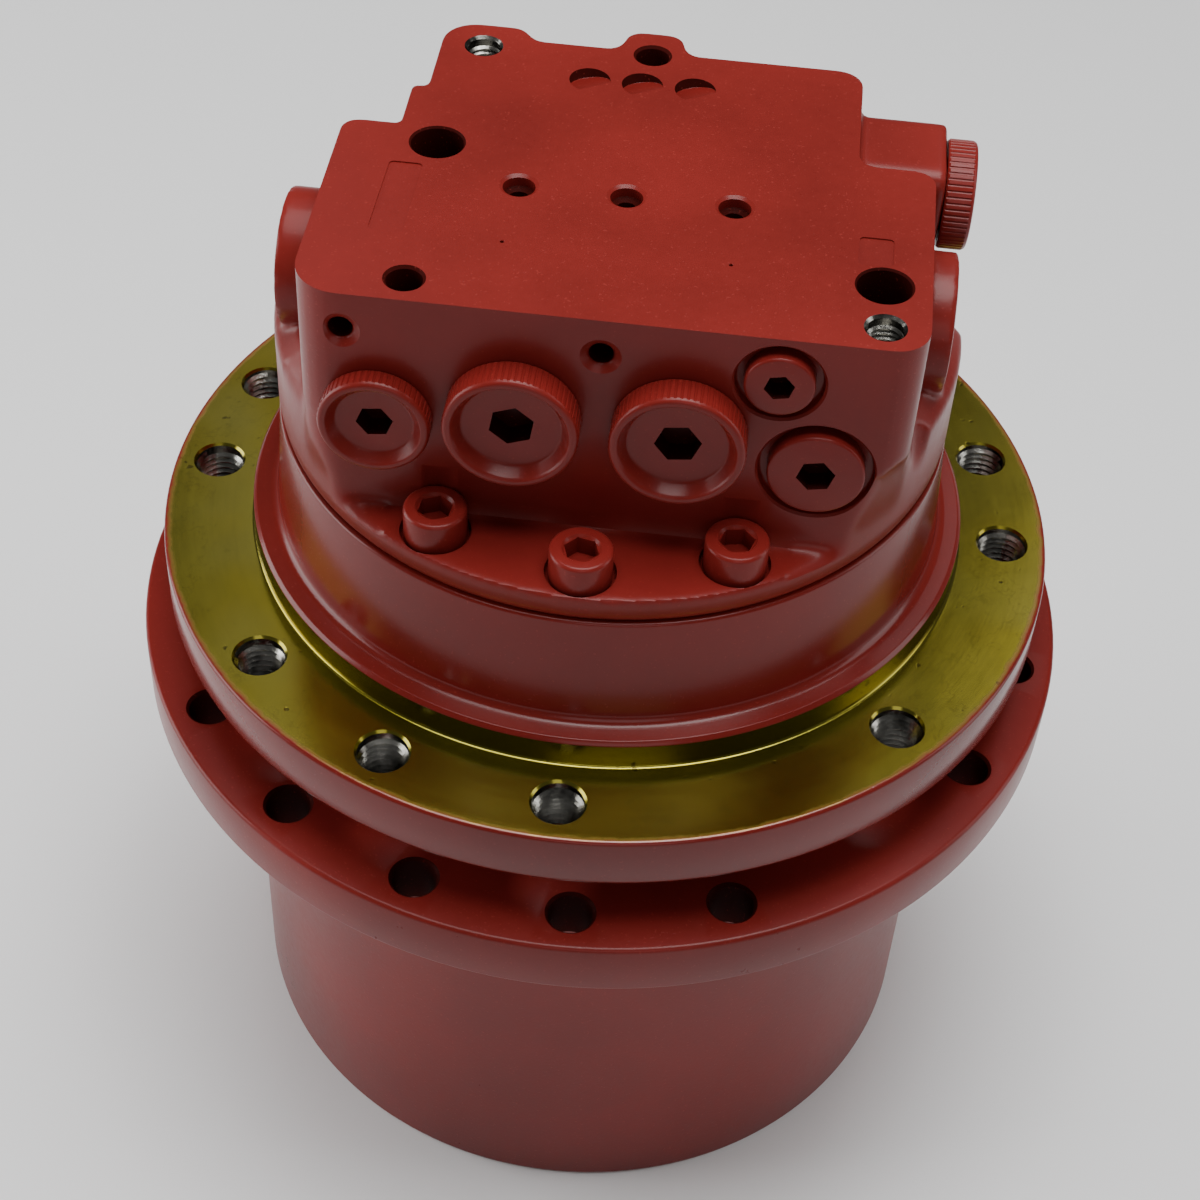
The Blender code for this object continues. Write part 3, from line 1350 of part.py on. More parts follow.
def flush_plugs():
    return (
        ("small_hex_plug", SMALL_PLUG_X, SMALL_PLUG_Z, SMALL_PLUG_R),
        ("large_hex_plug", LARGE_PLUG_X, LARGE_PLUG_Z, LARGE_PLUG_R),
    )


def make_plugs():
    for name, x in (("port_plug_a", PORT_MIDDLE_X + PORT_X), ("port_plug_b", PORT_MIDDLE_X - PORT_X)):
        seat = (x, BODY_FRONT, PORT_Z)
        make_ribbed_plug(name, PORT_HEAD_R, PORT_HEAD_T, PORT_BORE_R, seat, (0, -1, 0))
    seat = (DRAIN_X, BODY_FRONT, DRAIN_Z)
    make_ribbed_plug("drain_port_plug", DRAIN_HEAD_R, DRAIN_HEAD_T, DRAIN_BORE_R, seat, (0, -1, 0))
    seat = (PILOT_BOSS_END, PILOT_Y, PILOT_Z)
    make_ribbed_plug("pilot_port_plug", PILOT_HEAD_R, PILOT_HEAD_T, DRAIN_BORE_R, seat, (1, 0, 0))
    sizes = {"small_hex_plug": SMALL_PLUG_HEX_R, "large_hex_plug": LARGE_PLUG_HEX_R}
    for name, x, z, radius in flush_plugs():
        inward = Vector((0, 1, 0))
        face = Vector((x, BODY_FRONT - FLUSH_PLUG_PROUD, z))
        head_l = FLUSH_PLUG_PROUD + FLUSH_PLUG_RECESS - SEAT_GAP
        plug = cylinder(name, radius, head_l, face + inward * head_l / 2, inward, MID_STEPS, PARTS)
        length = FLUSH_PLUG_PROUD + FLUSH_PLUG_L
        thread_l = length - head_l + OVERRUN
        centre = face + inward * (length - thread_l / 2)
        thread = cylinder(f"{name}_thread", radius - FLUSH_PLUG_NECK, thread_l, centre, inward, SMALL_STEPS)
        boolean(plug, [thread], "UNION")
        boolean(plug, [hex_socket(f"{name}_hex", sizes[name], face, inward, length / 2)])
        give_finish(smooth(plug), "red_paint")
    for end, name in ((SPOOL_BOSS_LEFT, "left"), (SPOOL_BOSS_RIGHT, "right")):
        outward = Vector((-1, 0, 0)) if end < 0 else Vector((1, 0, 0))
        mouth = Vector((end, SPOOL_Y, SPOOL_Z))
        length = SPOOL_CAP_L - SEAT_GAP
        centre = mouth - outward * length / 2
        radius = SPOOL_CAP_R - THREAD_GAP
        cap = cylinder(f"spool_cap_{name}", radius, length, centre, -outward, SMALL_STEPS, PARTS)
        socket = hex_socket(f"spool_cap_hex_{name}", SPOOL_CAP_HEX_R, mouth, -outward, length / 2)
        give_finish(smooth(boolean(cap, [socket])), "red_paint")


# Counterbalance spool and springs

def spool_profile():
    """Lands and grooves from the middle out, in shares of the spool's half length."""
    half = [(SPOOL_STEM_R, SPOOL_HALF + STEM_L)]
    for i, share in enumerate(SPOOL_LAND_SHARES):
        inner, outer = (SPOOL_LAND_R, SPOOL_GROOVE_R) if i % 2 else (SPOOL_GROOVE_R, SPOOL_LAND_R)
        if i == 0:
            inner = SPOOL_STEM_R
        half += [(inner, SPOOL_HALF * share), (outer, SPOOL_HALF * share)]
    mirrored = [(r, -z) for r, z in reversed(half)]
    ends = SPOOL_HALF + STEM_L
    return [(0, ends), *half, *mirrored, (0, -ends)]


def make_spool(axis):
    spool = turned("counterbalance_spool", spool_profile(), SMALL_STEPS)
    spool.rotation_euler.y = pi / 2
    spool.location = axis.location
    ride(give_finish(smooth(spool), "ground_steel"), axis)
    start = SPOOL_HALF + SPOOL_STROKE + RUN_GAP
    for name, side, end in (("left", -1, -SPOOL_BOSS_LEFT), ("right", 1, SPOOL_BOSS_RIGHT)):
        middle = (SPOOL_BOSS_LEFT + SPOOL_BOSS_RIGHT) / 2
        first = middle * side + start
        last = end - SPOOL_CAP_L - SEAT_GAP - 2 * SPRING_WIRE_R
        curve = bpy.data.curves.new(f"spool_spring_{name}", "CURVE")
        curve.dimensions = "3D"
        curve.bevel_depth = SPRING_WIRE_R
        curve.bevel_resolution = 0
        curve.use_fill_caps = True
        spline = curve.splines.new("POLY")
        count = SPRING_TURNS * SPRING_TURN_POINTS
        spline.points.add(count)
        for i, point in enumerate(spline.points):
            along = first + SPRING_WIRE_R + (last - first) * i / count
            turn = 2 * pi * i / SPRING_TURN_POINTS
            y = SPRING_R * cos(turn)
            z = SPRING_R * sin(turn)
            point.co = (side * along, SPOOL_Y + y, SPOOL_Z + z, 1)
        spring = add_object(f"spool_spring_{name}", curve, PARTS)
        give_finish(spring, "ground_steel")


# The whole drive

def main():
    hub_axis = empty_at("hub_axis", (0, 0, 0))
    cage_axis = empty_at("cage_axis", (0, 0, 0))
    carrier_axis = empty_at("carrier_axis", (0, 0, 0))
    rotor_axis = empty_at("rotor_axis", (0, 0, 0))
    brake_axis = empty_at("brake_axis", (0, 0, BRAKE_STEP))
    spool_middle = (SPOOL_BOSS_LEFT + SPOOL_BOSS_RIGHT) / 2
    spool_axis = empty_at("spool_axis", (spool_middle, SPOOL_Y, SPOOL_Z))
    casing_axis = empty_at("casing_axis", (0, 0, 0))

    make_hub(hub_axis)
    make_end_cover(hub_axis)
    make_casing()
    make_main_bearing("upper_bearing", UPPER_BEARING_Z, 1, hub_axis, cage_axis)
    make_main_bearing("lower_bearing", LOWER_BEARING_Z, -1, hub_axis, cage_axis)
    make_ring_nut()
    make_floating_seal(hub_axis)
    make_planets(1, PLANET_1_TEETH, CENTRES_1, STAGE_1_START, STAGE_1_W, PIN_1_R, False, carrier_axis)
    make_planets(2, PLANET_2_TEETH, CENTRES_2, STAGE_2_START, STAGE_2_W, PIN_2_R, True, casing_axis)
    make_first_carrier(carrier_axis)
    make_shaft(rotor_axis)
    make_shaft_bearings()
    make_swash_plate()
    make_pistons(rotor_axis)
    make_retainer_plate(rotor_axis)
    make_cylinder_block(rotor_axis)
    make_valve_plate()
    make_brake(rotor_axis, brake_axis)
    make_valve_block()
    make_cap_screws()
    make_plugs()
    make_spool(spool_axis)
    bpy.context.view_layer.update()


main()
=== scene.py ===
# %% [markdown]
# # An excavator's final drive, dressed for its portrait
# The drive is a hydraulic motor and a planetary hub in one unit. Three forms are seen: a painted
# hub drum below, a casing with a bare machined flange in the middle, and a cast valve block on top.
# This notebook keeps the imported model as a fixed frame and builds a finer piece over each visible
# part of it, in the same place and size.

# %% Load the frame and keep its size
import json
from math import acos, atan2, cos, hypot, pi, radians, sin, tan

import bmesh
import bpy
from mathutils import Matrix, Vector


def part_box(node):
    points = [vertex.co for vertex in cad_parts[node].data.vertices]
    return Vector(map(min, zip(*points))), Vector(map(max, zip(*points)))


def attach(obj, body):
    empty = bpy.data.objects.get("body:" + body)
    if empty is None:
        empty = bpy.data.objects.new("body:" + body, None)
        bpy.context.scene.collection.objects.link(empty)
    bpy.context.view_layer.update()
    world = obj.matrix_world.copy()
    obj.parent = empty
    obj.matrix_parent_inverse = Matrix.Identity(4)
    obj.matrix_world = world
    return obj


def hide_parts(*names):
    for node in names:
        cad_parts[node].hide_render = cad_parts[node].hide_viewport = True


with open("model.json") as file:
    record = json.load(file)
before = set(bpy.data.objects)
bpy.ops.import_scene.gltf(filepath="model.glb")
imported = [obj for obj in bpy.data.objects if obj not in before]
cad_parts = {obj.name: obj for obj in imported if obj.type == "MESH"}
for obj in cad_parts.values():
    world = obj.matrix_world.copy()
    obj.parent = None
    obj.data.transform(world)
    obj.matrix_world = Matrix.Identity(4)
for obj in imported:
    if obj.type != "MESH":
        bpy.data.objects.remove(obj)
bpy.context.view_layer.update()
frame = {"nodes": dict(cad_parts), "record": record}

# %% [markdown]
# ## Tools for modelling
# Blender's operators act on whatever is selected, so each helper first clears the selection and
# picks its own object. Lengths are written in millimetres, as on a drawing, and turned to metres.

# %% Select one object, apply its place, apply a modifier
MM = 0.001


def pick(*objects):
    bpy.ops.object.select_all(action="DESELECT")
    for obj in objects:
        obj.select_set(True)
    bpy.context.view_layer.objects.active = objects[0]


def settle(obj):
    """Moves the object's place into its mesh, so the object sits at the origin."""
    pick(obj)
    bpy.ops.object.transform_apply(location=True, rotation=True, scale=True)
    return obj


def apply_modifier(obj, kind, **settings):
    pick(obj)
    modifier = obj.modifiers.new(kind.lower(), kind)
    for name, value in settings.items():
        setattr(modifier, name, value)
    bpy.ops.object.modifier_apply(modifier=modifier.name)
    return obj


# %% [markdown]
# A turned part is drawn as on a lathe: half its outline, with a fillet radius at each corner. The
# outline is then swept round Z ring by ring: a circle is extruded, moved and scaled for each point.

# %% Rounded outlines and turned pieces
def soften(corners, arc_points=4, closed=False):
    """Replaces each corner (x, y, radius) by a short arc; corners without a radius stay sharp."""
    path, count = [], len(corners)
    for i, corner in enumerate(corners):
        x, y, radius = (*corner, 0)[:3]
        inside = closed or 0 < i < count - 1
        if not radius or not inside:
            path.append((x, y))
            continue
        here = Vector((x, y))
        before = (Vector(corners[i - 1][:2]) - here).normalized()
        after = (Vector(corners[(i + 1) % count][:2]) - here).normalized()
        half = before.angle(after) / 2
        centre = here + (before + after).normalized() * radius / sin(half)
        start = here + before * radius / tan(half) - centre
        sweep = start.angle_signed(here + after * radius / tan(half) - centre)
        for step in range(arc_points + 1):
            angle = atan2(start.y, start.x) - sweep * step / arc_points
            path.append((centre.x + radius * cos(angle), centre.y + radius * sin(angle)))
    return path


def turned(name, outline, steps=128):
    """Turns an outline of (radius, height) in mm round Z; on the axis it is closed by a flat cap."""
    closed = outline[0][0] > 0 and outline[-1][0] > 0
    rings = [p for p in outline if p[0] > 0]
    rings += rings[:1] if closed else []
    radius, height = rings[0]
    bpy.ops.object.select_all(action="DESELECT")
    bpy.ops.mesh.primitive_circle_add(
        vertices=steps, radius=radius * MM, location=(0, 0, height * MM), fill_type="NOTHING"
    )
    obj = settle(bpy.context.object)
    obj.name = name
    bpy.ops.object.mode_set(mode="EDIT")
    bpy.ops.mesh.select_all(action="SELECT")
    for next_radius, next_height in rings[1:]:
        move = (0, 0, (next_height - height) * MM)
        bpy.ops.mesh.extrude_region_move(TRANSFORM_OT_translate={"value": move})
        grow = next_radius / radius
        bpy.ops.transform.resize(value=(grow, grow, 1), center_override=(0, 0, 0))
        radius, height = next_radius, next_height
    bpy.ops.mesh.select_all(action="SELECT")
    bpy.ops.mesh.remove_doubles(threshold=0.000005)
    if not closed:
        for end in (0, 1):
            bpy.ops.mesh.select_all(action="DESELECT")
            select_ring(obj, height if end else rings[0][1], radius if end else rings[0][0])
            bpy.ops.mesh.edge_face_add()
    bpy.ops.mesh.select_all(action="SELECT")
    bpy.ops.mesh.normals_make_consistent(inside=False)
    bpy.ops.object.mode_set(mode="OBJECT")
    return obj


def select_ring(obj, height, radius):
    """Selects the open ring of vertices at this height and radius, in edit mode."""
    shape = bmesh.from_edit_mesh(obj.data)
    for vert in shape.verts:
        near = abs(vert.co.z / MM - height) < 0.002
        vert.select = near and abs(hypot(vert.co.x, vert.co.y) / MM - radius) < 0.01
    shape.select_flush(True)
    bmesh.update_edit_mesh(obj.data)


# %% [markdown]
# Castings are drawn as a flat outline that is pulled up, and holes are cut with turned cutters. A
# cutter that has its own material leaves it on the wall of the hole, as a drill leaves bare steel.

# %% Flat pieces, copies, cutting and joining
def pulled_up(name, outline, low, high):
    """A flat outline in mm, filled and given its height."""
    curve = bpy.data.curves.new(name, "CURVE")
    curve.dimensions, curve.fill_mode = "2D", "BOTH"
    curve.extrude = (high - low) / 2 * MM
    line = curve.splines.new("POLY")
    line.points.add(len(outline) - 1)
    for point, (x, y) in zip(line.points, outline):
        point.co = (x * MM, y * MM, 0, 1)
    line.use_cyclic_u = True
    obj = bpy.data.objects.new(name, curve)
    bpy.context.scene.collection.objects.link(obj)
    obj.location.z = (low + high) / 2 * MM
    pick(obj)
    bpy.ops.object.convert(target="MESH")
    settle(obj)
    bpy.ops.object.mode_set(mode="EDIT")
    bpy.ops.mesh.select_all(action="SELECT")
    bpy.ops.mesh.remove_doubles(threshold=0.00001)
    bpy.ops.mesh.dissolve_limited(angle_limit=radians(0.1))
    bpy.ops.mesh.normals_make_consistent(inside=False)
    bpy.ops.object.mode_set(mode="OBJECT")
    return obj


def copy_of(obj, name, place=(0, 0, 0), direction=(0, 0, 1), spin=0.0):
    """A copy with its own mesh, turned so that its Z points along direction, and moved in mm."""
    made = obj.copy()
    made.data = obj.data.copy()
    made.name = name
    bpy.context.scene.collection.objects.link(made)
    turn = Vector(direction).to_track_quat("Z", "Y").to_matrix().to_4x4()
    matrix = Matrix.Translation(Vector(place) * MM) @ turn @ Matrix.Rotation(spin, 4, "Z")
    made.data.transform(matrix)
    return made


def join(parts, name):
    pick(*parts)
    if len(parts) > 1:
        bpy.ops.object.join()
    parts[0].name = name
    return parts[0]


def remove(*objects):
    for obj in objects:
        bpy.data.objects.remove(obj)


def combine(obj, cutters, operation="DIFFERENCE"):
    """Cuts or joins whole groups of separate shapes at once."""
    tool = join(cutters, "tool")
    apply_modifier(
        obj, "BOOLEAN", operation=operation, object=tool, solver="EXACT", material_mode="TRANSFER"
    )
    remove(tool)
    return obj


def smooth(obj, angle=32):
    pick(obj)
    bpy.ops.object.shade_smooth_by_angle(angle=radians(angle))
    return obj


def finish_piece(obj, body, *nodes, slot):
    """Lets a piece ride on its body and stand for the nodes it replaces."""
    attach(obj, body)
    if nodes:
        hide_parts(*nodes)
    triangles = sum(len(f.vertices) - 2 for f in obj.data.polygons)
    print(obj.name, "has", triangles, "triangles")
    return obj


# %% [markdown]
# ## Tools for shading
# A material is a small network of nodes. Written as plain sums it stays readable: this class wraps
# one output of a node, and adding or multiplying two of them adds the Math node between.

# %% Sockets that do arithmetic
class Socket:
    def __init__(self, tree, output):
        self.tree, self.output = tree, output

    def math(self, operation, *others):
        values = dict(enumerate((self, *others)))
        return Maker(self.tree).node("ShaderNodeMath", {"operation": operation}, values)

    def __add__(self, other):
        return self.math("ADD", other)

    def __sub__(self, other):
        return self.math("SUBTRACT", other)

    def __rsub__(self, other):
        return (self * -1) + other

    def __mul__(self, other):
        return self.math("MULTIPLY", other)

    def __truediv__(self, other):
        return self.math("DIVIDE", other)

    __radd__, __rmul__ = __add__, __mul__

    def clamp(self):
        return self.math("MINIMUM", 1.0).math("MAXIMUM", 0.0)

    def between(self, low, high):
        """Rises from 0 at low to 1 at high."""
        return ((self - low) / (high - low)).clamp()


class Maker:
    """Adds nodes to one tree. Settings come first, then values or links for the inputs."""

    def __init__(self, tree):
        self.tree = tree

    def node(self, kind, settings=None, inputs=None, output=0):
        made = self.tree.nodes.new(kind)
        for name, value in (settings or {}).items():
            setattr(made, name, value)
        for name, value in (inputs or {}).items():
            if isinstance(value, Socket):
                self.tree.links.new(value.output, made.inputs[name])
            else:
                made.inputs[name].default_value = value
        return Socket(self.tree, made.outputs[output])

    def noise(self, where, scale, detail=3.0, roughness=0.5):
        inputs = {"Vector": where, "Scale": scale, "Detail": detail, "Roughness": roughness}
        return self.node("ShaderNodeTexNoise", {}, inputs, "Fac")

    def blend(self, share, first, second):
        """A colour between two colours."""
        settings = {"data_type": "RGBA"}
        return self.node("ShaderNodeMix", settings, {0: share, 6: first, 7: second}, 2)

    def bump(self, height, strength, distance, normal=None):
        inputs = {"Height": height, "Strength": strength, "Distance": distance}
        if normal:
            inputs["Normal"] = normal
        return self.node("ShaderNodeBump", {}, inputs)


# %% [markdown]
# ### Red spray paint
# The castings are sprayed in one thick red coat after assembly. Close up such a coat has three
# things: a fine orange peel, a slow drift in depth where it is thicker, and tiny dust nibs. The
# cast skin under it shows as a coarser bump. Holes and key sockets get a duller coat with a far
# darker red, painted shade for the dark inside them, and on the casing's turned wall the coat is
# smooth enough to mirror the zinc beside it. All five come from one function, so that they stay
# one paint.

# %% Red paint
def material(name):
    made = bpy.data.materials.new(name)
    made.use_nodes = True
    return made, Maker(made.node_tree), made.node_tree.nodes["Principled BSDF"]


def wire(shader, **inputs):
    """Sets or links inputs of the shader by name, with _ for a space."""
    for name, value in inputs.items():
        socket = shader.inputs[name.replace("_", " ")]
        if isinstance(value, Socket):
            value.tree.links.new(value.output, socket)
        else:
            socket.default_value = value


DEEP_RED, BRIGHT_RED = (0.118, 0.0098, 0.0078, 1), (0.188, 0.0148, 0.0118, 1)


def red_paint(name, cast_skin=0.0, shine=0.30, deep=DEEP_RED, bright=BRIGHT_RED, gloss=1.0):
    made, maker, shader = material(name)
    where = maker.node("ShaderNodeTexCoord", output="Object")
    drift = maker.noise(where, 14.0, 4.0)
    fine = maker.noise(where, 420.0, 2.0)
    peel = maker.noise(where, 900.0, 1.0)
    skin = maker.noise(where, 260.0, 5.0, 0.6)
    nibs = maker.noise(where, 1500.0, 0.0).between(0.76, 0.80)
    depth = (drift.between(0.34, 0.66) * 0.75 + fine * 0.25).clamp()
    colour = maker.blend(depth, deep, bright)
    colour = maker.blend(nibs * 0.15, colour, (0.42, 0.06, 0.045, 1))
    height = peel * 0.25 + skin * cast_skin + nibs * 0.4
    rough = drift * 0.10 + fine * 0.06 + (shine - 0.08)
    wire(
        shader, Base_Color=colour, Roughness=rough, Metallic=0.0, Specular_IOR_Level=0.16 * gloss,
        Coat_Weight=0.06 * gloss, Coat_Roughness=0.14, Normal=maker.bump(height, 0.16, 0.0004),
    )
    return made


paint = red_paint("red_paint")
cast_paint = red_paint("red_paint_on_casting", 0.55, 0.33)
# The next paint's far darker red is painted shade: it stands for the shade that falls inside holes.
shaded_hole_paint = red_paint(
    "red_paint_with_painted_shade_in_holes", 0.3, 0.60,
    deep=(0.022, 0.0026, 0.0020, 1), bright=(0.048, 0.0050, 0.0040, 1), gloss=0.08,
)
# This paint's far darker red is painted shade for the dark inside key sockets and deep dimples.
shaded_key_paint = red_paint(
    "red_paint_with_painted_shade_in_key_sockets", 0.0, 0.34,
    deep=(0.020, 0.0028, 0.0024, 1), bright=(0.045, 0.0060, 0.0050, 1), gloss=0.4,
)
casing_paint = red_paint(
    "red_paint_on_turned_wall", 0.0, 0.20,
    deep=(0.106, 0.0082, 0.0062, 1), bright=(0.166, 0.0125, 0.0095, 1), gloss=1.4,
)
print("five red paints")

# %% [markdown]
# ### Yellow zinc on the machined flange
# The frame flange's face was masked from the paint. It is turned steel with a yellow chromate
# film: olive gold, patchy where oil lies on it, with faint turning marks round the axis, a few
# scratches, and red overspray along its outer edge. The rings come from the distance to the axis.

# %% Flange gold
def flange_gold(name, edge_radius):
    made, maker, shader = material(name)
    where = maker.node("ShaderNodeTexCoord", output="Object")
    split = maker.node("ShaderNodeSeparateXYZ", {}, {"Vector": where})
    x, y = split, Socket(made.node_tree, split.output.node.outputs[1])
    radius = (x * x + y * y).math("SQRT")
    angle = y.math("ARCTAN2", x)
    polar = maker.node("ShaderNodeCombineXYZ", {}, {"X": radius * 60.0, "Y": angle * 0.35, "Z": 0.0})
    turning = maker.noise(polar, 6.0, 3.0, 0.5)
    patches = maker.noise(where, 19.0, 3.0, 0.5)
    oil = maker.noise(where, 34.0, 2.0, 0.4).between(0.35, 0.75)
    scratch = maker.noise(where, 12.0, 6.0, 0.75) - 0.5
    scratch = 1.0 - (scratch * scratch * 30000.0).clamp()
    specks = maker.noise(where, 300.0, 1.0).between(0.74, 0.79)
    tone = (patches.between(0.25, 0.75) * 0.8 + turning * 0.2).clamp()
    colour = maker.blend(tone, (0.205, 0.165, 0.020, 1), (0.330, 0.280, 0.036, 1))
    colour = maker.blend(oil * 0.35, colour, (0.230, 0.235, 0.036, 1))
    colour = maker.blend((specks * 0.6 + scratch * 0.15).clamp(), colour, (0.05, 0.035, 0.010, 1))
    ragged = radius + (maker.noise(where, 180.0, 4.0, 0.7) - 0.5) * 0.0022
    spray = ragged.between(edge_radius - 0.0020, edge_radius - 0.0002)
    colour = maker.blend(spray, colour, (0.16, 0.014, 0.010, 1))
    rough = (patches * 0.10 + turning * 0.05 + 0.13).clamp()
    waves = maker.noise(where, 30.0, 2.0, 0.4) * 2.0 + maker.noise(where, 120.0, 2.0) * 0.3
    bump = maker.bump(waves + turning * 0.12 - specks * 0.3, 0.16, 0.0006)
    wire(
        shader, Base_Color=colour, Roughness=rough, Metallic=1.0 - spray, Normal=bump,
        Coat_Weight=oil * 0.3, Coat_Roughness=0.08,
    )
    return made


gold = flange_gold("yellow_zinc_face", 0.1246)
print("flange gold")

# %% [markdown]
# ### Bare metals and rubber
# Holes that were masked show bright steel threads with dark oil in them. Inside the drive the gears
# are dark hardened steel, the races are ground bright, the running parts are bronze.

# %% Steel, bronze and rubber
def metal(name, dark, light, roughness, scale=120.0, grain=0.25):
    made, maker, shader = material(name)
    where = maker.node("ShaderNodeTexCoord", output="Object")
    cloud = maker.noise(where, scale, 4.0, 0.6)
    fine = maker.noise(where, scale * 9, 2.0)
    colour = maker.blend(cloud.between(0.3, 0.7), dark, light)
    rough = (cloud * 0.2 + fine * 0.1 + roughness - 0.15).clamp()
    bump = maker.bump(fine, grain, 0.0002)
    wire(shader, Base_Color=colour, Metallic=1.0, Roughness=rough, Normal=bump)
    return made


thread_steel = metal("thread_steel", (0.03, 0.028, 0.024, 1), (0.42, 0.41, 0.37, 1), 0.22)
ground_steel = metal("ground_steel_finish", (0.34, 0.34, 0.33, 1), (0.58, 0.58, 0.56, 1), 0.24)
gear_steel = metal("gear_steel_finish", (0.14, 0.135, 0.13, 1), (0.30, 0.29, 0.28, 1), 0.36)
bronze = metal("bronze_finish", (0.36, 0.20, 0.07, 1), (0.62, 0.40, 0.15, 1), 0.32)


def rubber_material(name):
    made, maker, shader = material(name)
    where = maker.node("ShaderNodeTexCoord", output="Object")
    dust = maker.noise(where, 220.0, 4.0)
    colour = maker.blend(dust, (0.010, 0.010, 0.011, 1), (0.035, 0.034, 0.033, 1))
    wire(shader, Base_Color=colour, Roughness=dust * 0.2 + 0.6, Normal=maker.bump(dust, 0.2, 0.0003))
    return made


rubber = rubber_material("seal_rubber")
print("bare metals and rubber")

# %% [markdown]
# Every node of the model gets a worked finish too, also those that stay hidden inside.

# %% Finishes for the model's own nodes
finish_of_slot = {
    "red_paint": paint, "ground_steel": ground_steel, "gear_steel": gear_steel, "bronze": bronze,
    "black_rubber": rubber,
}
slot_of_node = {s["node"]: s["material_slot"] for s in frame["record"]["subparts"]}
for node_name, node in frame["nodes"].items():
    node.data.materials.clear()
    node.data.materials.append(finish_of_slot[slot_of_node[node_name]])
print(len(frame["nodes"]), "nodes have a finish")


# %% [markdown]
# A new piece starts without a material. It is given one, or several in order, and faces that were
# masked, or that lie deep in holes where a darker paint stands as painted shade, then get another
# of them, chosen by their place and direction.

# %% Give pieces and their faces materials
def give(obj, *materials):
    obj.data.materials.clear()
    for made in materials:
        obj.data.materials.append(made)
    return obj


def repaint(obj, index, wanted):
    """Gives material number index to the faces whose centre and normal are wanted."""
    count = 0
    for face in obj.data.polygons:
        x, y, z = face.center / MM
        if wanted(hypot(x, y), z, face.normal):
            face.material_index = index
            count += 1
    return count


# %% [markdown]
# ## The hub
# The hub is one casting: a plain drum, the sprocket's flange, a short neck that runs into the
# casing's lip, and the ring gear inside. It is turned from a single outline with small fillets,
# then the bolt holes are cut with one cutter that also leaves their chamfers.

# %% Hub outline
FINE_STEPS = 180
DRUM_RADIUS, NECK_RADIUS, LIP_TOP = 105.5, 104, 166
SPROCKET_FACE, SPROCKET_UNDERSIDE = 155, 138
hub_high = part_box("hub")[1]
flange_radius = hub_high.x / MM
outside = [
    (97.4, 157.5), (97.4, LIP_TOP, 0.6), (NECK_RADIUS, LIP_TOP, 0.8), (NECK_RADIUS, SPROCKET_FACE, 1.2),
    (flange_radius, SPROCKET_FACE, 1.3), (flange_radius, SPROCKET_UNDERSIDE, 1.3),
    (DRUM_RADIUS, SPROCKET_UNDERSIDE, 2.0), (DRUM_RADIUS, 0, 1.6),
]
inside = [
    (90, 0, 0.6), (90, 18), (80.0, 18), (80.0, 96), (88, 96), (88, 123), (82, 123), (82, 127),
    (88, 127), (88, 149), (92.3, 149), (92.3, 157.5),
]
hub = give(turned("hub_dressed", soften(outside + inside), FINE_STEPS), paint)
print("hub is", round(2 * flange_radius, 1), "mm across")

# %% [markdown]
# The sprocket is bolted to the flange through fifteen plain holes, in three groups of five. One
# turned cutter has the chamfers of both ends, and a copy of it is set at each angle.

# %% Bolt holes in the sprocket's flange
SPROCKET_CIRCLE = 121.5


def place_on_circle(radius, degrees, height):
    return (radius * cos(radians(degrees)), radius * sin(radians(degrees)), height)


# The cutter leaves the dark hole paint on the holes' walls: painted shade inside them.
flange_cutter = give(turned("cutter", [
    (0, 1), (6.9, 1), (6.9, 0.15), (6.0, -0.8), (6.0, -16.2), (6.9, -17.15), (6.9, -18), (0, -18),
], 28), shaded_hole_paint)
FIRST_ANGLE, PITCH_ANGLE = -147.5, 20
sprocket_angles = [FIRST_ANGLE + PITCH_ANGLE * i for i in range(18) if i % 6 != 5]
combine(hub, [
    copy_of(flange_cutter, "hole", place_on_circle(SPROCKET_CIRCLE, a, SPROCKET_FACE))
    for a in sprocket_angles
])
remove(flange_cutter)
print(len(sprocket_angles), "sprocket holes")

# %% [markdown]
# The hub's inner bore carries the ring gear. Its 60 teeth are involutes, cut with one outline.

# %% Ring gear
MODULE, RING_TEETH, PRESSURE_ANGLE, PLAY = 2.75, 60, radians(20), 0.09


def involute_spaces(teeth, flank_points=5):
    """The outline of the tooth spaces inside a ring gear, in mm."""
    pitch = MODULE * teeth / 2
    base, tip, root = pitch * cos(PRESSURE_ANGLE), pitch + 1.15 * MODULE, pitch - 0.9 * MODULE
    half = pi / (2 * teeth) + PLAY / pitch + tan(PRESSURE_ANGLE) - PRESSURE_ANGLE
    flank = []
    for i in range(flank_points):
        r = root + (tip - root) * i / (flank_points - 1)
        alpha = acos(min(1, base / r))
        flank.append((r, half - (tan(alpha) - alpha)))
    tooth = [(r, -a) for r, a in flank] + [(r, a) for r, a in reversed(flank)]
    turns = [2 * pi * i / teeth + pi / teeth for i in range(teeth)]
    return [(r * cos(t + a), r * sin(t + a)) for t in turns for r, a in tooth]


spaces = give(pulled_up("spaces", involute_spaces(RING_TEETH), 12, 100), gear_steel)
combine(hub, [spaces])
finish_piece(smooth(hub), "hub", "hub", slot="red_paint")

# %% [markdown]
# ## End cover
# The hub's open end is closed by a disc that a ring in a groove holds, with two oil plugs. It is
# seen only from below, but a person who turns the model over looks at it first.

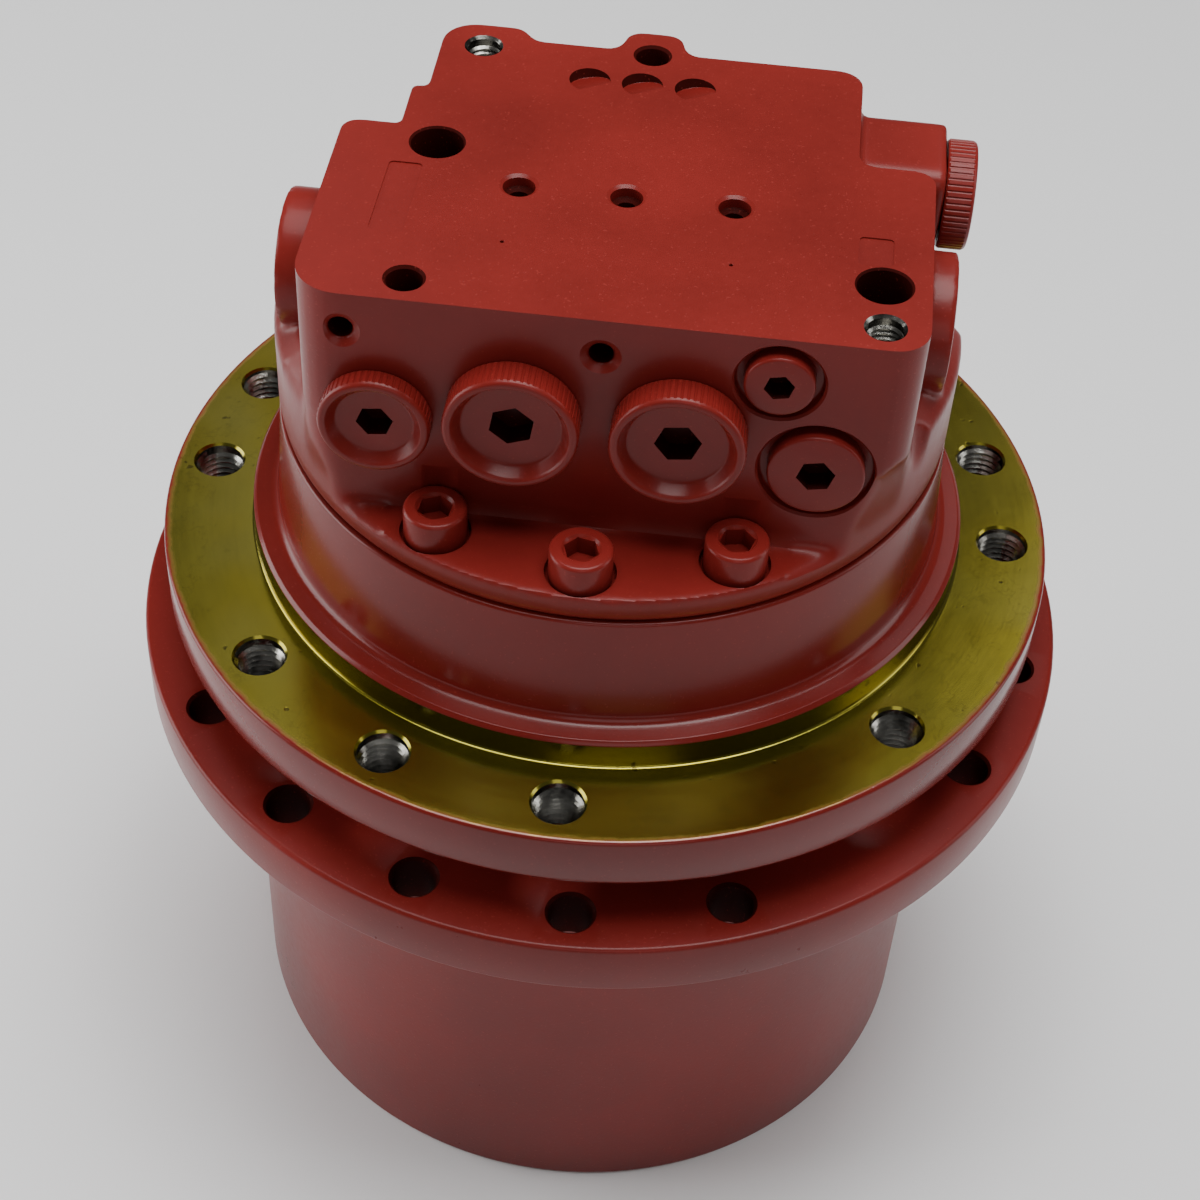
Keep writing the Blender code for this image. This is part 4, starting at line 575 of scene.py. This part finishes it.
# %% End cover, its ring and the oil plugs
cover = give(turned("end_cover_dressed", soften([
    (0, 19.7), (20, 19.7, 1), (20, 14, 2), (89.7, 14, 1), (89.7, 3.3, 1), (80, 3.3, 0.8), (76, 5.3, 3),
    (30, 5.3, 3), (26, 3.3, 0.8), (0, 3.3),
])), paint)
OIL_PLUG_CIRCLE, OIL_PLUG_SEAT = 58, 12.3
oil_plug_angles = {"fill_plug": 90, "level_plug": -30}
plug_hole = give(turned("cutter", [
    (0, 20), (8.5, 20), (8.5, 5.6), (10.5, 3.0), (10.5, 1), (0, 1),
], 40), paint)
combine(cover, [
    copy_of(plug_hole, "hole", place_on_circle(OIL_PLUG_CIRCLE, a, 0))
    for a in oil_plug_angles.values()
])
remove(plug_hole)
finish_piece(smooth(cover), "hub", "end_cover", slot="red_paint")


def key_socket(across_flats, low, high, finish_material=shaded_key_paint):
    """The cutter of a socket for a hex key; by default it leaves the dark key paint, painted shade."""
    corner = across_flats / 3 ** 0.5
    hexagon = [(corner * cos(pi / 3 * i), corner * sin(pi / 3 * i)) for i in range(6)]
    return give(pulled_up("hex", hexagon, low, high), finish_material)


for plug_name, angle in oil_plug_angles.items():
    plug = give(turned(plug_name + "_dressed", soften([
        (0, 9), (8.2, 9, 0.8), (8.2, 0, 0.8), (0, 0),
    ]), 48), ground_steel)
    combine(plug, [key_socket(8, 4.5, 10)])
    place = place_on_circle(OIL_PLUG_CIRCLE, angle, OIL_PLUG_SEAT)
    done = copy_of(plug, plug_name + "_placed", place, (0, 0, -1))
    remove(plug)
    finish_piece(smooth(done), "hub", plug_name, slot="ground_steel")

snap = give(turned("retaining_ring_dressed", soften([
    (87.8, 0.7, 0.3), (91.9, 0.7, 0.3), (91.9, 2.8, 0.3), (87.8, 2.8, 0.3),
], closed=True)), ground_steel)
finish_piece(smooth(snap), "hub", "cover_retaining_ring", slot="ground_steel")
print("end cover closed")

# %% [markdown]
# ## The casing
# The casing is turned too: the frame flange with its bare face, the pilot that centres it in the
# frame plate, then the tapered wall that carries the valve block. The face and the pilot's wall get
# the zinc finish by the place of their faces; everything else is painted.

# %% Casing outline
FRAME_RADIUS, FRAME_FACE, FRAME_UNDERSIDE = 125, 188, 171.5
CENTRING_RADIUS, CENTRING_TOP, CASING_TOP = 99.7, 195.7, 230.3
outside = [
    (72, 192), (72, CASING_TOP), (90.45, CASING_TOP, 1.0), (92.55, 196.9, 2.8), (98.7, 196.7, 0.5),
    (CENTRING_RADIUS, CENTRING_TOP, 0.6), (CENTRING_RADIUS, FRAME_FACE, 0.8),
    (FRAME_RADIUS, FRAME_FACE, 1.1), (FRAME_RADIUS, FRAME_UNDERSIDE, 1.6), (96, FRAME_UNDERSIDE, 1),
    (96, 158.1, 0.6),
]
inside = [
    (92.3, 158.1), (92.3, 167), (76, 167), (76, 149), (68, 149), (68, 101), (66, 101), (66, 92),
    (11.7, 92), (11.7, 100.5), (18, 100.5), (18, 106.4), (26, 106.4), (26, 120), (56, 120), (56, 192),
]
casing = give(
    turned("motor_casing_dressed", soften(outside + inside), FINE_STEPS),
    casing_paint, gold, thread_steel,
)
print("casing outline turned")

# %% [markdown]
# The flange's holes are tapped M14 x 2. The cutter leaves a chamfer and steel walls, and a real
# helix of thread ridges goes into each hole: one triangle swept up a screw line.

# %% Tapped holes and their threads
FRAME_CIRCLE, TAP_RADIUS = 112.5, 6.75
tap_cutter = give(turned("cutter", [
    (0, 1), (7.45, 1), (7.45, 0.1), (TAP_RADIUS, -0.7), (TAP_RADIUS, -15.4), (7.9, -16.8), (7.9, -18),
    (0, -18),
], 32), thread_steel)
frame_angles = (-138.7, -114.4, -90, -41.4, 0, 18.5, 90, 161.5, 180)
combine(casing, [
    copy_of(tap_cutter, "hole", place_on_circle(FRAME_CIRCLE, a, FRAME_FACE)) for a in frame_angles
])
remove(tap_cutter)


def thread_helix(name, radius, pitch, length, depth, steps=28):
    """Ridges of a thread inside a hole, from z = 0 down."""
    bpy.ops.object.select_all(action="DESELECT")
    bpy.ops.mesh.primitive_circle_add(vertices=3, radius=0.5 * MM, fill_type="NOTHING")
    ridge = bpy.context.object
    ridge.name = name
    half = pitch * 0.46
    corners = ((radius + 0.15, half), (radius - depth, 0), (radius + 0.15, -half))
    for vert, (r, z) in zip(ridge.data.vertices, corners):
        vert.co = (r * MM, 0, z * MM)
    apply_modifier(
        ridge, "SCREW", steps=steps, render_steps=steps, iterations=round(length / pitch), angle=2 * pi,
        screw_offset=-pitch * MM, use_smooth_shade=True, use_normal_calculate=True,
    )
    ridge.data.transform(Matrix.Translation((0, 0, -pitch * MM)))
    pick(ridge)
    bpy.ops.object.mode_set(mode="EDIT")
    bpy.ops.mesh.select_all(action="SELECT")
    bpy.ops.mesh.remove_doubles(threshold=0.000002)
    bpy.ops.mesh.select_all(action="DESELECT")
    bpy.ops.mesh.select_non_manifold(extend=False)
    bpy.ops.mesh.fill()
    bpy.ops.mesh.select_all(action="SELECT")
    bpy.ops.mesh.normals_make_consistent(inside=False)
    bpy.ops.object.mode_set(mode="OBJECT")
    return give(ridge, thread_steel)


helix = thread_helix("frame_thread", TAP_RADIUS, 2.0, 14, 0.95)
threads = [
    copy_of(helix, "thread", place_on_circle(FRAME_CIRCLE, a, FRAME_FACE - 0.4), spin=radians(40 * i))
    for i, a in enumerate(frame_angles)
]
remove(helix)
frame_threads = join(threads, "frame_flange_threads")
finish_piece(smooth(frame_threads, 50), "casing", slot="ground_steel")

# %% [markdown]
# The zinc covers the flange's face and the wall of the step that centres the casing in the frame.
# Height, radius and direction pick out these faces; the flange's outer edge stays painted.

# %% Bare face and painted rest
def flatten(obj, wanted):
    """Shades the milled faces flat, so that their light doesn't bend towards the holes."""
    for face in obj.data.polygons:
        if wanted(face.center.z / MM, face.normal):
            face.use_smooth = False
    return obj


def on_zinc(r, z, normal):
    at_height = FRAME_FACE - 1 < z < CENTRING_TOP - 0.3
    return at_height and 97 < r < FRAME_RADIUS - 0.1 and (normal.z > 0.95 or r < 121)


bare = repaint(casing, 1, on_zinc)
flatten(smooth(casing), lambda z, n: n.z > 0.9999)
finish_piece(casing, "casing", "motor_casing", slot="red_paint")
print(bare, "faces left bare")

# %% [markdown]
# ## The valve block
# This is the most shaped piece: a sand casting whose walls run into a round base with soft fillets,
# with bosses at both sides, and a flat top that is milled before painting. The rough casting is
# made first and softened. Milling and drilling come after it, as in the workshop, and stay crisp.

# %% Outline of the cast body, from above
BLOCK_LOW, LEDGE, BLOCK_TOP = 230.6, 238.6, 303.0
FRONT, BASE_RADIUS = -64.0, 90.5
body_outline = soften([
    (-73.3, FRONT, 11.5), (76.5, FRONT, 8.5), (77.1, 9.0, 5.5), (57.5, 9.0, 4.5),
    (57.5, 52.0, 6.8), (10.4, 52.0, 4.5), (8.2, 61.2, 4.5), (-5.4, 61.2, 4.5), (-7.6, 52.0, 4.5),
    (-30.1, 52.0, 4.5), (-34.6, 57.6, 4.5), (-54.6, 57.6, 9.0), (-54.6, 25.5, 0.8), (-58.7, 25.5, 0.8),
    (-58.7, 7.5, 1.0), (-73.3, 7.5, 4.5),
], 6, closed=True)
block = pulled_up("valve_block_dressed", body_outline, 233, 309)

# %% [markdown]
# The body's corners reach past the round base, so on the real casting they lean in to meet it: a
# turned bell trims them. Between the front corners and the spool's bosses the round wall rises to
# the bosses, and a soft pocket is let into it on each side.

# %% Lean the corners in and turn the base
bell = turned("bell", soften([
    (0, 225), (BASE_RADIUS, 225), (BASE_RADIUS, 243, 12), (94.5, 265, 20), (112, 290, 10),
    (112, 315), (0, 315),
], 6), 96)
combine(block, [bell], "INTERSECT")


WIDE = 100


def slab(left, right, near, far, low, high):
    """A cutter with square corners; WIDE reaches past the casting on every side."""
    return pulled_up("slab", [(left, near), (right, near), (right, far), (left, far)], low, high)


base = turned("base", [
    (0, 229.2), (88.2, 229.2), (89.4, BLOCK_LOW), (BASE_RADIUS, 232.2), (BASE_RADIUS, 258),
    (85, 264), (0, 264),
])
combine(base, [
    slab(-WIDE, WIDE, -WIDE, FRONT + 7, LEDGE, 270), slab(-WIDE, WIDE, 3.8, WIDE, LEDGE, 270),
])
pocket = turned("pocket", soften([
    (0, -15), (3.4, -13, 2), (4.6, -6, 6), (4.6, 6, 6), (3.4, 13, 2), (0, 15),
]), 24)
combine(base, [copy_of(pocket, "pocket", at) for at in ((-81.5, -46.6, 267), (82.0, -42.0, 264))])
remove(pocket)
print("base has", len(base.data.polygons), "faces")

# %% [markdown]
# The counterbalance spool lies across the block, so a round boss stands out at each side. At the
# right a second, half round boss carries the pilot port. Both lie along X: a turned piece is made
# upright and a copy of it is laid down.

# %% Bosses at the sides
SPOOL_ENDS, SPOOL_Y, SPOOL_Z, SPOOL_BOSS_RADIUS = (-84.8, 84.7), -14.0, 274.3, 17.8
PILOT_END, PILOT_Y, PILOT_Z, PILOT_BOSS_RADIUS = 80.5, 27.0, 285.0, 14


def side_boss(name, outline, x, y, z, side):
    """A turned piece whose z = 0 end lies at x, pointing along side on the X axis."""
    made = turned(name, outline, 64)
    done = copy_of(made, name, (x, y, z), (side, 0, 0))
    remove(made)
    return done


spool_length = SPOOL_ENDS[1] - SPOOL_ENDS[0]
spool_boss = side_boss("boss", [
    (0, 0), (SPOOL_BOSS_RADIUS, 0), (SPOOL_BOSS_RADIUS, spool_length), (0, spool_length),
], SPOOL_ENDS[0], SPOOL_Y, SPOOL_Z, 1)
half_turn = [pi + pi * i / 16 for i in range(17)]
lower_half = [(PILOT_BOSS_RADIUS * cos(a), PILOT_BOSS_RADIUS * sin(a)) for a in half_turn]
square_half = [(PILOT_BOSS_RADIUS, PILOT_BOSS_RADIUS, 4.5), (-PILOT_BOSS_RADIUS, PILOT_BOSS_RADIUS, 4.5)]
pilot_boss = pulled_up("boss", soften(square_half + lower_half, closed=True), 28, PILOT_END)
pilot_boss.data.transform(Matrix((
    (0, 0, 1, 0), (1, 0, 0, PILOT_Y * MM), (0, 1, 0, PILOT_Z * MM), (0, 0, 0, 1),
)))
block = join([block, base, spool_boss, pilot_boss], "valve_block_dressed")
print("bosses", round(spool_length, 1), "mm from end to end")

# %% [markdown]
# The joined solids still meet in sharp creases. A voxel remesh makes them one skin, and smoothing
# rounds it as a sand mould does: a little all over, and much more at the foot of the walls, which
# a vertex group marks.

# %% Remesh and soften the casting
apply_modifier(block, "REMESH", mode="VOXEL", voxel_size=0.95 * MM, adaptivity=0.0)
foot = block.vertex_groups.new(name="foot")
for vert in block.data.vertices:
    x, y, z = vert.co / MM
    at_flank = abs(x) > 60 and y < -38 and 239 < z < 264
    at_wedge = abs(x) > 50 and y < -46 and 237.5 < z < 252
    if 239 < z < 252 or at_flank or at_wedge or z < 236:
        foot.add([vert.index], 1.0, "REPLACE")
apply_modifier(block, "SMOOTH", factor=0.5, iterations=6)
apply_modifier(block, "SMOOTH", factor=0.5, iterations=45, vertex_group="foot")
give(block, cast_paint, paint)
print("casting has", len(block.data.polygons), "faces")

# %% [markdown]
# Milling: the top is one plane, the base's underside another, with a spigot below it that centres
# the block in the casing.

# %% Mill top and underside, add the spigot
combine(block, [give(slab(-WIDE, WIDE, -WIDE, WIDE, BLOCK_LOW, BLOCK_TOP), paint)], "INTERSECT")
spigot = give(turned("spigot", soften([
    (0, 227.6), (59.0, 227.6, 0.6), (60, 228.6), (60, 234), (0, 234),
]), 96), paint)
combine(block, [spigot], "UNION")
print("milled, now", len(block.data.polygons), "faces")

# %% [markdown]
# Drilling: every hole has the countersink that its drill leaves. The top has four tapped holes, two
# deep plain ones, three galleries, two pin marks and three shallow crescents, which a slanted
# cutter leaves. Two of the tapped holes were masked and stay bare steel, so they are listed apart.

# %% Holes of the top face
def hole_cutter(radius, depth, sink, finish_material, steps=32):
    """A countersunk hole from z = 0 down, with a drill point."""
    return give(turned("cutter", [
        (0, 1.5), (radius + sink, 1.5), (radius + sink, 0.0), (radius, -sink), (radius, -depth),
        (0, -depth - radius * 0.5),
    ], steps), finish_material)


BARE_TAPS, PAINTED_TAPS = ((-43.4, 47.4), (65.9, -55.6)), ((1.4, 50.6), (-46.9, -55.6))
TOP_TAP_RADIUS, DEEP_HOLES = 4.45, ((-48.3, 0.9), (65.3, -39.7))
GALLERIES_X, PINS_X, PINS_Y = (-25.5, 1.2, 27.9), (-26.4, 28.6), -37.6
CRESCENTS_X, CRESCENTS_Y, CRESCENT_LEAN = (-13.5, 0.3, 14.2), 35.6, (-0.15, 0.25, 0.95)
cutters = []
# The painted taps and the deep holes get the dark hole paint on their walls: painted shade.
for taps, wall in ((BARE_TAPS, thread_steel), (PAINTED_TAPS, shaded_hole_paint)):
    cutters += [(hole_cutter(TOP_TAP_RADIUS, 17, 0.7, wall), (x, y, BLOCK_TOP)) for x, y in taps]
for x, y in DEEP_HOLES:
    cutters.append((hole_cutter(6.7, 40, 0.5, shaded_hole_paint, steps=40), (x, y, BLOCK_TOP)))
for x in GALLERIES_X:
    gallery = give(turned("cutter", [
        (0, 1.5), (5.0, 1.5), (5.0, 0), (4.1, -0.6), (4.1, -3.0), (2.6, -3.8), (2.6, -12), (0, -13.3),
    ], 32), paint, shaded_hole_paint)
    # Below the counterbore the gallery's bore gets the dark hole paint: painted shade.
    repaint(gallery, 1, lambda r, z, n: z < -3.0)
    cutters.append((gallery, (x, SPOOL_Y, BLOCK_TOP)))
for x in PINS_X:
    cutters.append((hole_cutter(0.5, 2.0, 0.15, paint, steps=12), (x, PINS_Y, BLOCK_TOP)))
placed = [copy_of(c, "hole", place) for c, place in cutters]
remove(*[c for c, place in cutters])
moon = give(turned("moon", soften([
    (0, 6), (5.7, 6), (5.3, 0.2, 0.15), (0, 0.35),
]), 48), paint, shaded_hole_paint)
# The crescent's steep wall gets the dark hole paint: painted shade that draws a dark crescent.
repaint(moon, 1, lambda r, z, n: abs(n.z) < 0.5)
for x in CRESCENTS_X:
    placed.append(copy_of(moon, "moon", (x, CRESCENTS_Y, BLOCK_TOP - 1.05), CRESCENT_LEAN))
remove(moon)
combine(block, placed)
print("top face drilled:", len(block.data.polygons), "faces")

# %% [markdown]
# Two small pads of the top keep the rough cast skin: they lie a third of a millimetre lower, where
# the milling cutter doesn't reach.

# %% Rough pads
PAD_FLOOR = BLOCK_TOP - 0.35
PAD_CORNERS = (
    ((58.6, -32.2), (67, -32.2), (67.2, -21), (58.8, -21)),
    ((-59, -38), (-50.6, -38), (-50.2, -9), (-58.6, -9)),
)
pads = []
for corners in PAD_CORNERS:
    outline = soften([(x, y, 1.2) for x, y in corners], closed=True)
    pads.append(give(pulled_up("pad", outline, PAD_FLOOR, BLOCK_TOP + 1), cast_paint))
combine(block, pads)
print("two pads left rough")

# %% [markdown]
# The front face has two main ports, the case drain, two flush plugs in spot faces and two blind
# dimples with rounded rims. Each cutter is turned upright and laid down by a copy, so that it
# points out of its face, and the bores in the ends of the side bosses are made the same way.

# %% Bores of the front and the sides
def front_bore(cutter, x, z):
    done = copy_of(cutter, "bore", (x, FRONT, z), (0, -1, 0))
    remove(cutter)
    return done


PORTS = {"port_plug_a": (20.7, 272.5), "port_plug_b": (-19.3, 272.5), "drain_port_plug": (-52.8, 268.0)}
FLUSH = {
    "small_hex_plug": (43.0, 289.9, 8.45, 10.7, 6.4), "large_hex_plug": (54.3, 263.8, 11.9, 14.2, 8.3),
}
DIMPLES = ((-61.1, 292.2), (0.8, 292.4))
bores = [
    front_bore(hole_cutter(radius, 20, 0.8, paint), *PORTS[plug_name])
    for plug_name, radius in zip(PORTS, (12.0, 12.0, 9.5))
]
for x, z in DIMPLES:
    dimple = give(turned("cutter", soften([
        (0, 1.5), (6.6, 1.5), (5.0, 0.0, 0.8), (3.1, -1.1, 1.0), (2.7, -3.0, 1.0), (2.7, -9), (0, -10),
    ]), 32), paint, shaded_key_paint)
    # The hole below the dimple's dish gets the dark key paint: painted shade in the hole.
    repaint(dimple, 1, lambda r, z, n: z < -1.6)
    bores.append(front_bore(dimple, x, z))
for x, z, radius, recess, _ in FLUSH.values():
    bores.append(front_bore(give(turned("cutter", soften([
        (0, 1.5), (recess + 0.8, 1.5), (recess + 0.8, 0.2), (recess, -0.6), (recess, -3.4, 0.8),
        (radius - 1, -3.4), (radius - 1, -11), (0, -11),
    ]), 64), paint), x, z))
cap_bore = [(0, 1.5), (14.0, 1.5), (14.0, 0.2), (13.0, -0.8), (13.0, -14), (0, -14)]
for x, side in zip(SPOOL_ENDS, (-1, 1)):
    bores.append(give(side_boss("bore", cap_bore, x, SPOOL_Y, SPOOL_Z, side), paint))
pilot_bore = [(0, 1.5), (10.3, 1.5), (10.3, 0.2), (9.5, -0.6), (9.5, -30), (0, -30)]
bores.append(give(side_boss("bore", pilot_bore, PILOT_END, PILOT_Y, PILOT_Z, 1), paint))
combine(block, bores)
print("ports bored:", len(block.data.polygons), "faces")

# %% [markdown]
# The five cap screws stand in spot faces, milled with a flat end cutter that reaches close to the
# base's rim. The shaft's bore is cut from below in the same step.

# %% Spot faces, screw holes and the shaft's bore below
SCREW_CIRCLE, SCREW_ANGLES = 81.0, (-117.5, -90, -62.5, 62.5, 117.5)
spot = give(turned("cutter", soften([
    (0, 14), (9.0, 14), (9.0, -2.3, 0.6), (5.3, -2.3), (5.3, -12), (0, -12),
]), 48), paint)
seats = [copy_of(spot, "spot", place_on_circle(SCREW_CIRCLE, a, LEDGE)) for a in SCREW_ANGLES]
remove(spot)
seats.append(give(turned("shaft_bore", [
    (0, 226), (20, 226), (20, 242.6), (12.5, 242.6), (12.5, 247.5), (0, 247.5),
], 48), paint))
combine(block, seats)
flatten(smooth(block, 30), lambda z, n: n.z > 0.9999 and z > BLOCK_TOP - 0.1)
finish_piece(block, "casing", "valve_block", slot="red_paint")

# %% [markdown]
# ### Cap screws
# Socket head screws M10, painted over after assembly, so their edges are rounded by the paint and
# the key socket's edge has a soft lip.

# %% Cap screws
screw_head = give(turned("screw", soften([
    (0, 246.6), (8.0, 246.6, 1.1), (8.0, 236.7, 0.5), (5.0, 236.7), (5.0, 217.6), (0, 217.6),
], 5), 48), paint)
socket_lip = give(turned("lip", [
    (0, 248), (5.1, 248), (5.1, 246.75), (4.3, 245.9), (0, 245.9),
], 48), paint)
combine(screw_head, [key_socket(7.8, 240.9, 248, paint)])
combine(screw_head, [socket_lip])
for number, angle in enumerate(SCREW_ANGLES, 1):
    screw = copy_of(screw_head, f"casing_screw_{number}_dressed")
    move = Matrix.Translation(Vector(place_on_circle(SCREW_CIRCLE, angle, 0)) * MM)
    screw.data.transform(move @ Matrix.Rotation(radians(24 * number), 4, "Z"))
    finish_piece(smooth(screw), "casing", f"casing_screw_{number}", slot="red_paint")
remove(screw_head)

# %% [markdown]
# ### Port plugs
# Four shipping plugs close the ports. Each has a rim with rolled ribs, a dished face and a key
# socket. A head is turned, and a ring of thin cylinders cuts the grooves between its ribs. The two
# main ports have the same plug, so it is made once and copied, each copy screwed home by another
# angle.

# %% Ribbed plugs
def ribbed_plug(name, radius, height, ribs, key, shank):
    """A plug that stands on z = 0, its shank below."""
    dish_radius, dish_height = radius - 2.6, height * 0.56
    plug = give(turned(name, soften([
        (0, dish_height), (dish_radius - 1.6, dish_height, 0.9), (dish_radius, height - 0.7, 0.5),
        (dish_radius + 0.5, height, 0.5), (radius - 0.5, height, 1.0), (radius, height - 1.1, 0.8),
        (radius, 0.9, 0.5), (radius - 0.6, 0.3), (shank - 0.3, 0.3), (shank - 0.3, -10), (0, -10),
    ], 3), 96), paint)
    groove = give(turned("groove", [
        (0, -0.5), (0.42, -0.5), (0.42, height - 0.9), (0, height - 0.4),
    ], 8), paint)
    combine(plug, [
        copy_of(groove, "groove", place_on_circle(radius + 0.12, 360 * i / ribs, 0))
        for i in range(ribs)
    ])
    remove(groove)
    combine(plug, [key_socket(key, dish_height - 6, height)])
    return plug


main_head = ribbed_plug("main_head", 16.5, 8.7, 66, 10.0, 12.0)
drain_head = ribbed_plug("drain_head", 13.8, 6.0, 54, 8.0, 9.5)
pilot_head = ribbed_plug("pilot_head", 14.2, 8.0, 56, 10.0, 9.5)
screwed_home = {
    "port_plug_a": (main_head, 8), "port_plug_b": (main_head, 21), "drain_port_plug": (drain_head, 8),
}
for plug_name, (head, degrees) in screwed_home.items():
    x, z = PORTS[plug_name]
    done = copy_of(head, plug_name + "_dressed", (x, FRONT, z), (0, -1, 0), radians(degrees))
    finish_piece(smooth(done), "casing", plug_name, slot="red_paint")
pilot_plug = copy_of(
    pilot_head, "pilot_port_plug_dressed", (PILOT_END, PILOT_Y, PILOT_Z), (1, 0, 0), radians(8)
)
finish_piece(smooth(pilot_plug), "casing", "pilot_port_plug", slot="red_paint")
remove(main_head, drain_head, pilot_head)

# %% [markdown]
# Two flush plugs and the two spool caps are plain turned discs with a key socket.

# %% Flush plugs and spool caps
for plug_name, (x, z, radius, recess, key) in FLUSH.items():
    plug = give(turned("plug", soften([
        (0, 1.5), (radius, 1.5, 0.7), (radius, -3.1), (radius - 1.3, -3.1), (radius - 1.3, -10.5),
        (0, -10.5),
    ], 4), 72), paint)
    combine(plug, [key_socket(key, -4.5, 3)])
    done = copy_of(plug, plug_name + "_dressed", (x, FRONT, z), (0, -1, 0), radians(12))
    remove(plug)
    finish_piece(smooth(done), "casing", plug_name, slot="red_paint")

for side_name, x, side in zip(("left", "right"), SPOOL_ENDS, (-1, 1)):
    cap = side_boss("cap", soften([
        (0, 0), (12.7, 0, 0.8), (12.7, -13.7), (0, -13.7),
    ], 4), x, SPOOL_Y, SPOOL_Z, side)
    give(cap, paint)
    socket = key_socket(12.1, -7, 1)
    combine(cap, [copy_of(socket, "hex", (x, SPOOL_Y, SPOOL_Z), (side, 0, 0))])
    remove(socket)
    cap.name = f"spool_cap_{side_name}_dressed"
    finish_piece(smooth(cap), "casing", f"spool_cap_{side_name}", slot="red_paint")

# %% [markdown]
# The bare tapped holes of the top get real threads as well.

# %% Threads in the block's top
helix = thread_helix("top_thread", TOP_TAP_RADIUS, 1.5, 13, 0.7, 24)
threads = [copy_of(helix, "thread", (x, y, BLOCK_TOP - 0.6)) for x, y in BARE_TAPS]
top_threads = join(threads, "valve_block_threads")
remove(helix)
finish_piece(smooth(top_threads, 50), "casing", slot="ground_steel")

# %% [markdown]
# ## Floor, light and camera
# The drive stands on a pale seamless floor, a little uneven in tone, as a painted workshop floor is.

# %% Floor
bpy.ops.object.select_all(action="DESELECT")
bpy.ops.mesh.primitive_plane_add(size=12)
floor = bpy.context.object
floor.name = "floor"
floor_look, maker, shader = material("pale_floor")
cloud = maker.noise(maker.node("ShaderNodeTexCoord", output="Object"), 1.5, 3.0)
wire(
    shader, Base_Color=maker.blend(cloud, (0.84, 0.84, 0.84, 1), (0.88, 0.88, 0.88, 1)),
    Roughness=cloud * 0.1 + 0.6,
)
give(floor, floor_look)
print("floor laid")

# %% [markdown]
# Glossy paint shows what it mirrors, so the lights are wide panels. One above gives the soft even
# light, and a small one near the top gives the milled face its sheen. Two narrow panels far behind
# draw the pale streaks on the zinc, one at each side draws the long bands along the corners of the
# castings, and a weak one in front opens the shadows of the front wall.

# %% Lights
MIDDLE = (0, 0, 0.2)


def area_light(name, place, target, size, power, size_y=None):
    light = bpy.data.lights.new(name, "AREA")
    light.energy, light.size = power, size
    if size_y:
        light.shape, light.size_y = "RECTANGLE", size_y
    obj = bpy.data.objects.new(name, light)
    bpy.context.scene.collection.objects.link(obj)
    direction = Vector(target) - Vector(place)
    turn = direction.to_track_quat("-Z", "Y").to_matrix().to_4x4()
    obj.matrix_world = Matrix.Translation(place) @ turn
    return obj


area_light("top_soft_light", (0.0, 0.15, 1.9), MIDDLE, 1.4, 34)
area_light("near_top_light", (0.08, -0.02, 0.70), (0.05, -0.02, 0.3), 0.3, 1.25)
area_light("back_left_panel", (-0.50, 1.6, 1.85), MIDDLE, 0.25, 0.42, 0.8)
area_light("back_right_panel", (0.56, 1.6, 1.85), MIDDLE, 0.30, 1.0, 0.8)
area_light("front_fill", (0.3, -1.6, 1.0), MIDDLE, 0.9, 3.6)
area_light("left_panel", (-1.5, 0.0, 0.55), MIDDLE, 1.1, 21, 1.0)
area_light("right_panel", (1.5, 0.15, 0.7), MIDDLE, 0.6, 7, 1.3)
world = bpy.data.worlds.new("studio")
bpy.context.scene.world = world
world.use_nodes = True
sky = world.node_tree.nodes["Background"].inputs
sky["Color"].default_value = (1, 1, 1, 1)
sky["Strength"].default_value = 0.13
print("lights set")

# %% [markdown]
# The camera stands in front, above and a little to the right, and is tilted slightly, as the
# photographer held it. Its place and angles were fitted to the ellipses of the flanges.

# %% Camera
lens = bpy.data.cameras.new("camera")
lens.sensor_width, lens.lens = 36.0, 68.34
lens.clip_start, lens.clip_end = 0.01, 50
camera = bpy.data.objects.new("camera", lens)
bpy.context.scene.collection.objects.link(camera)
bpy.context.scene.camera = camera
azimuth, elevation, roll = radians(4.0), radians(45.1587), radians(3.4345)
back = Vector((sin(azimuth) * cos(elevation), -cos(azimuth) * cos(elevation), sin(elevation)))
right = Vector((cos(azimuth), sin(azimuth), 0))
up = back.cross(right)
turned_right = right * cos(roll) + up * sin(roll)
turned_up = up * cos(roll) - right * sin(roll)
view = Matrix((turned_right, turned_up, back)).transposed().to_4x4()
CAMERA_PLACE = Vector((33.0, -478.0, 629.6)) * MM
camera.matrix_world = Matrix.Translation(CAMERA_PLACE) @ view
print("camera set")
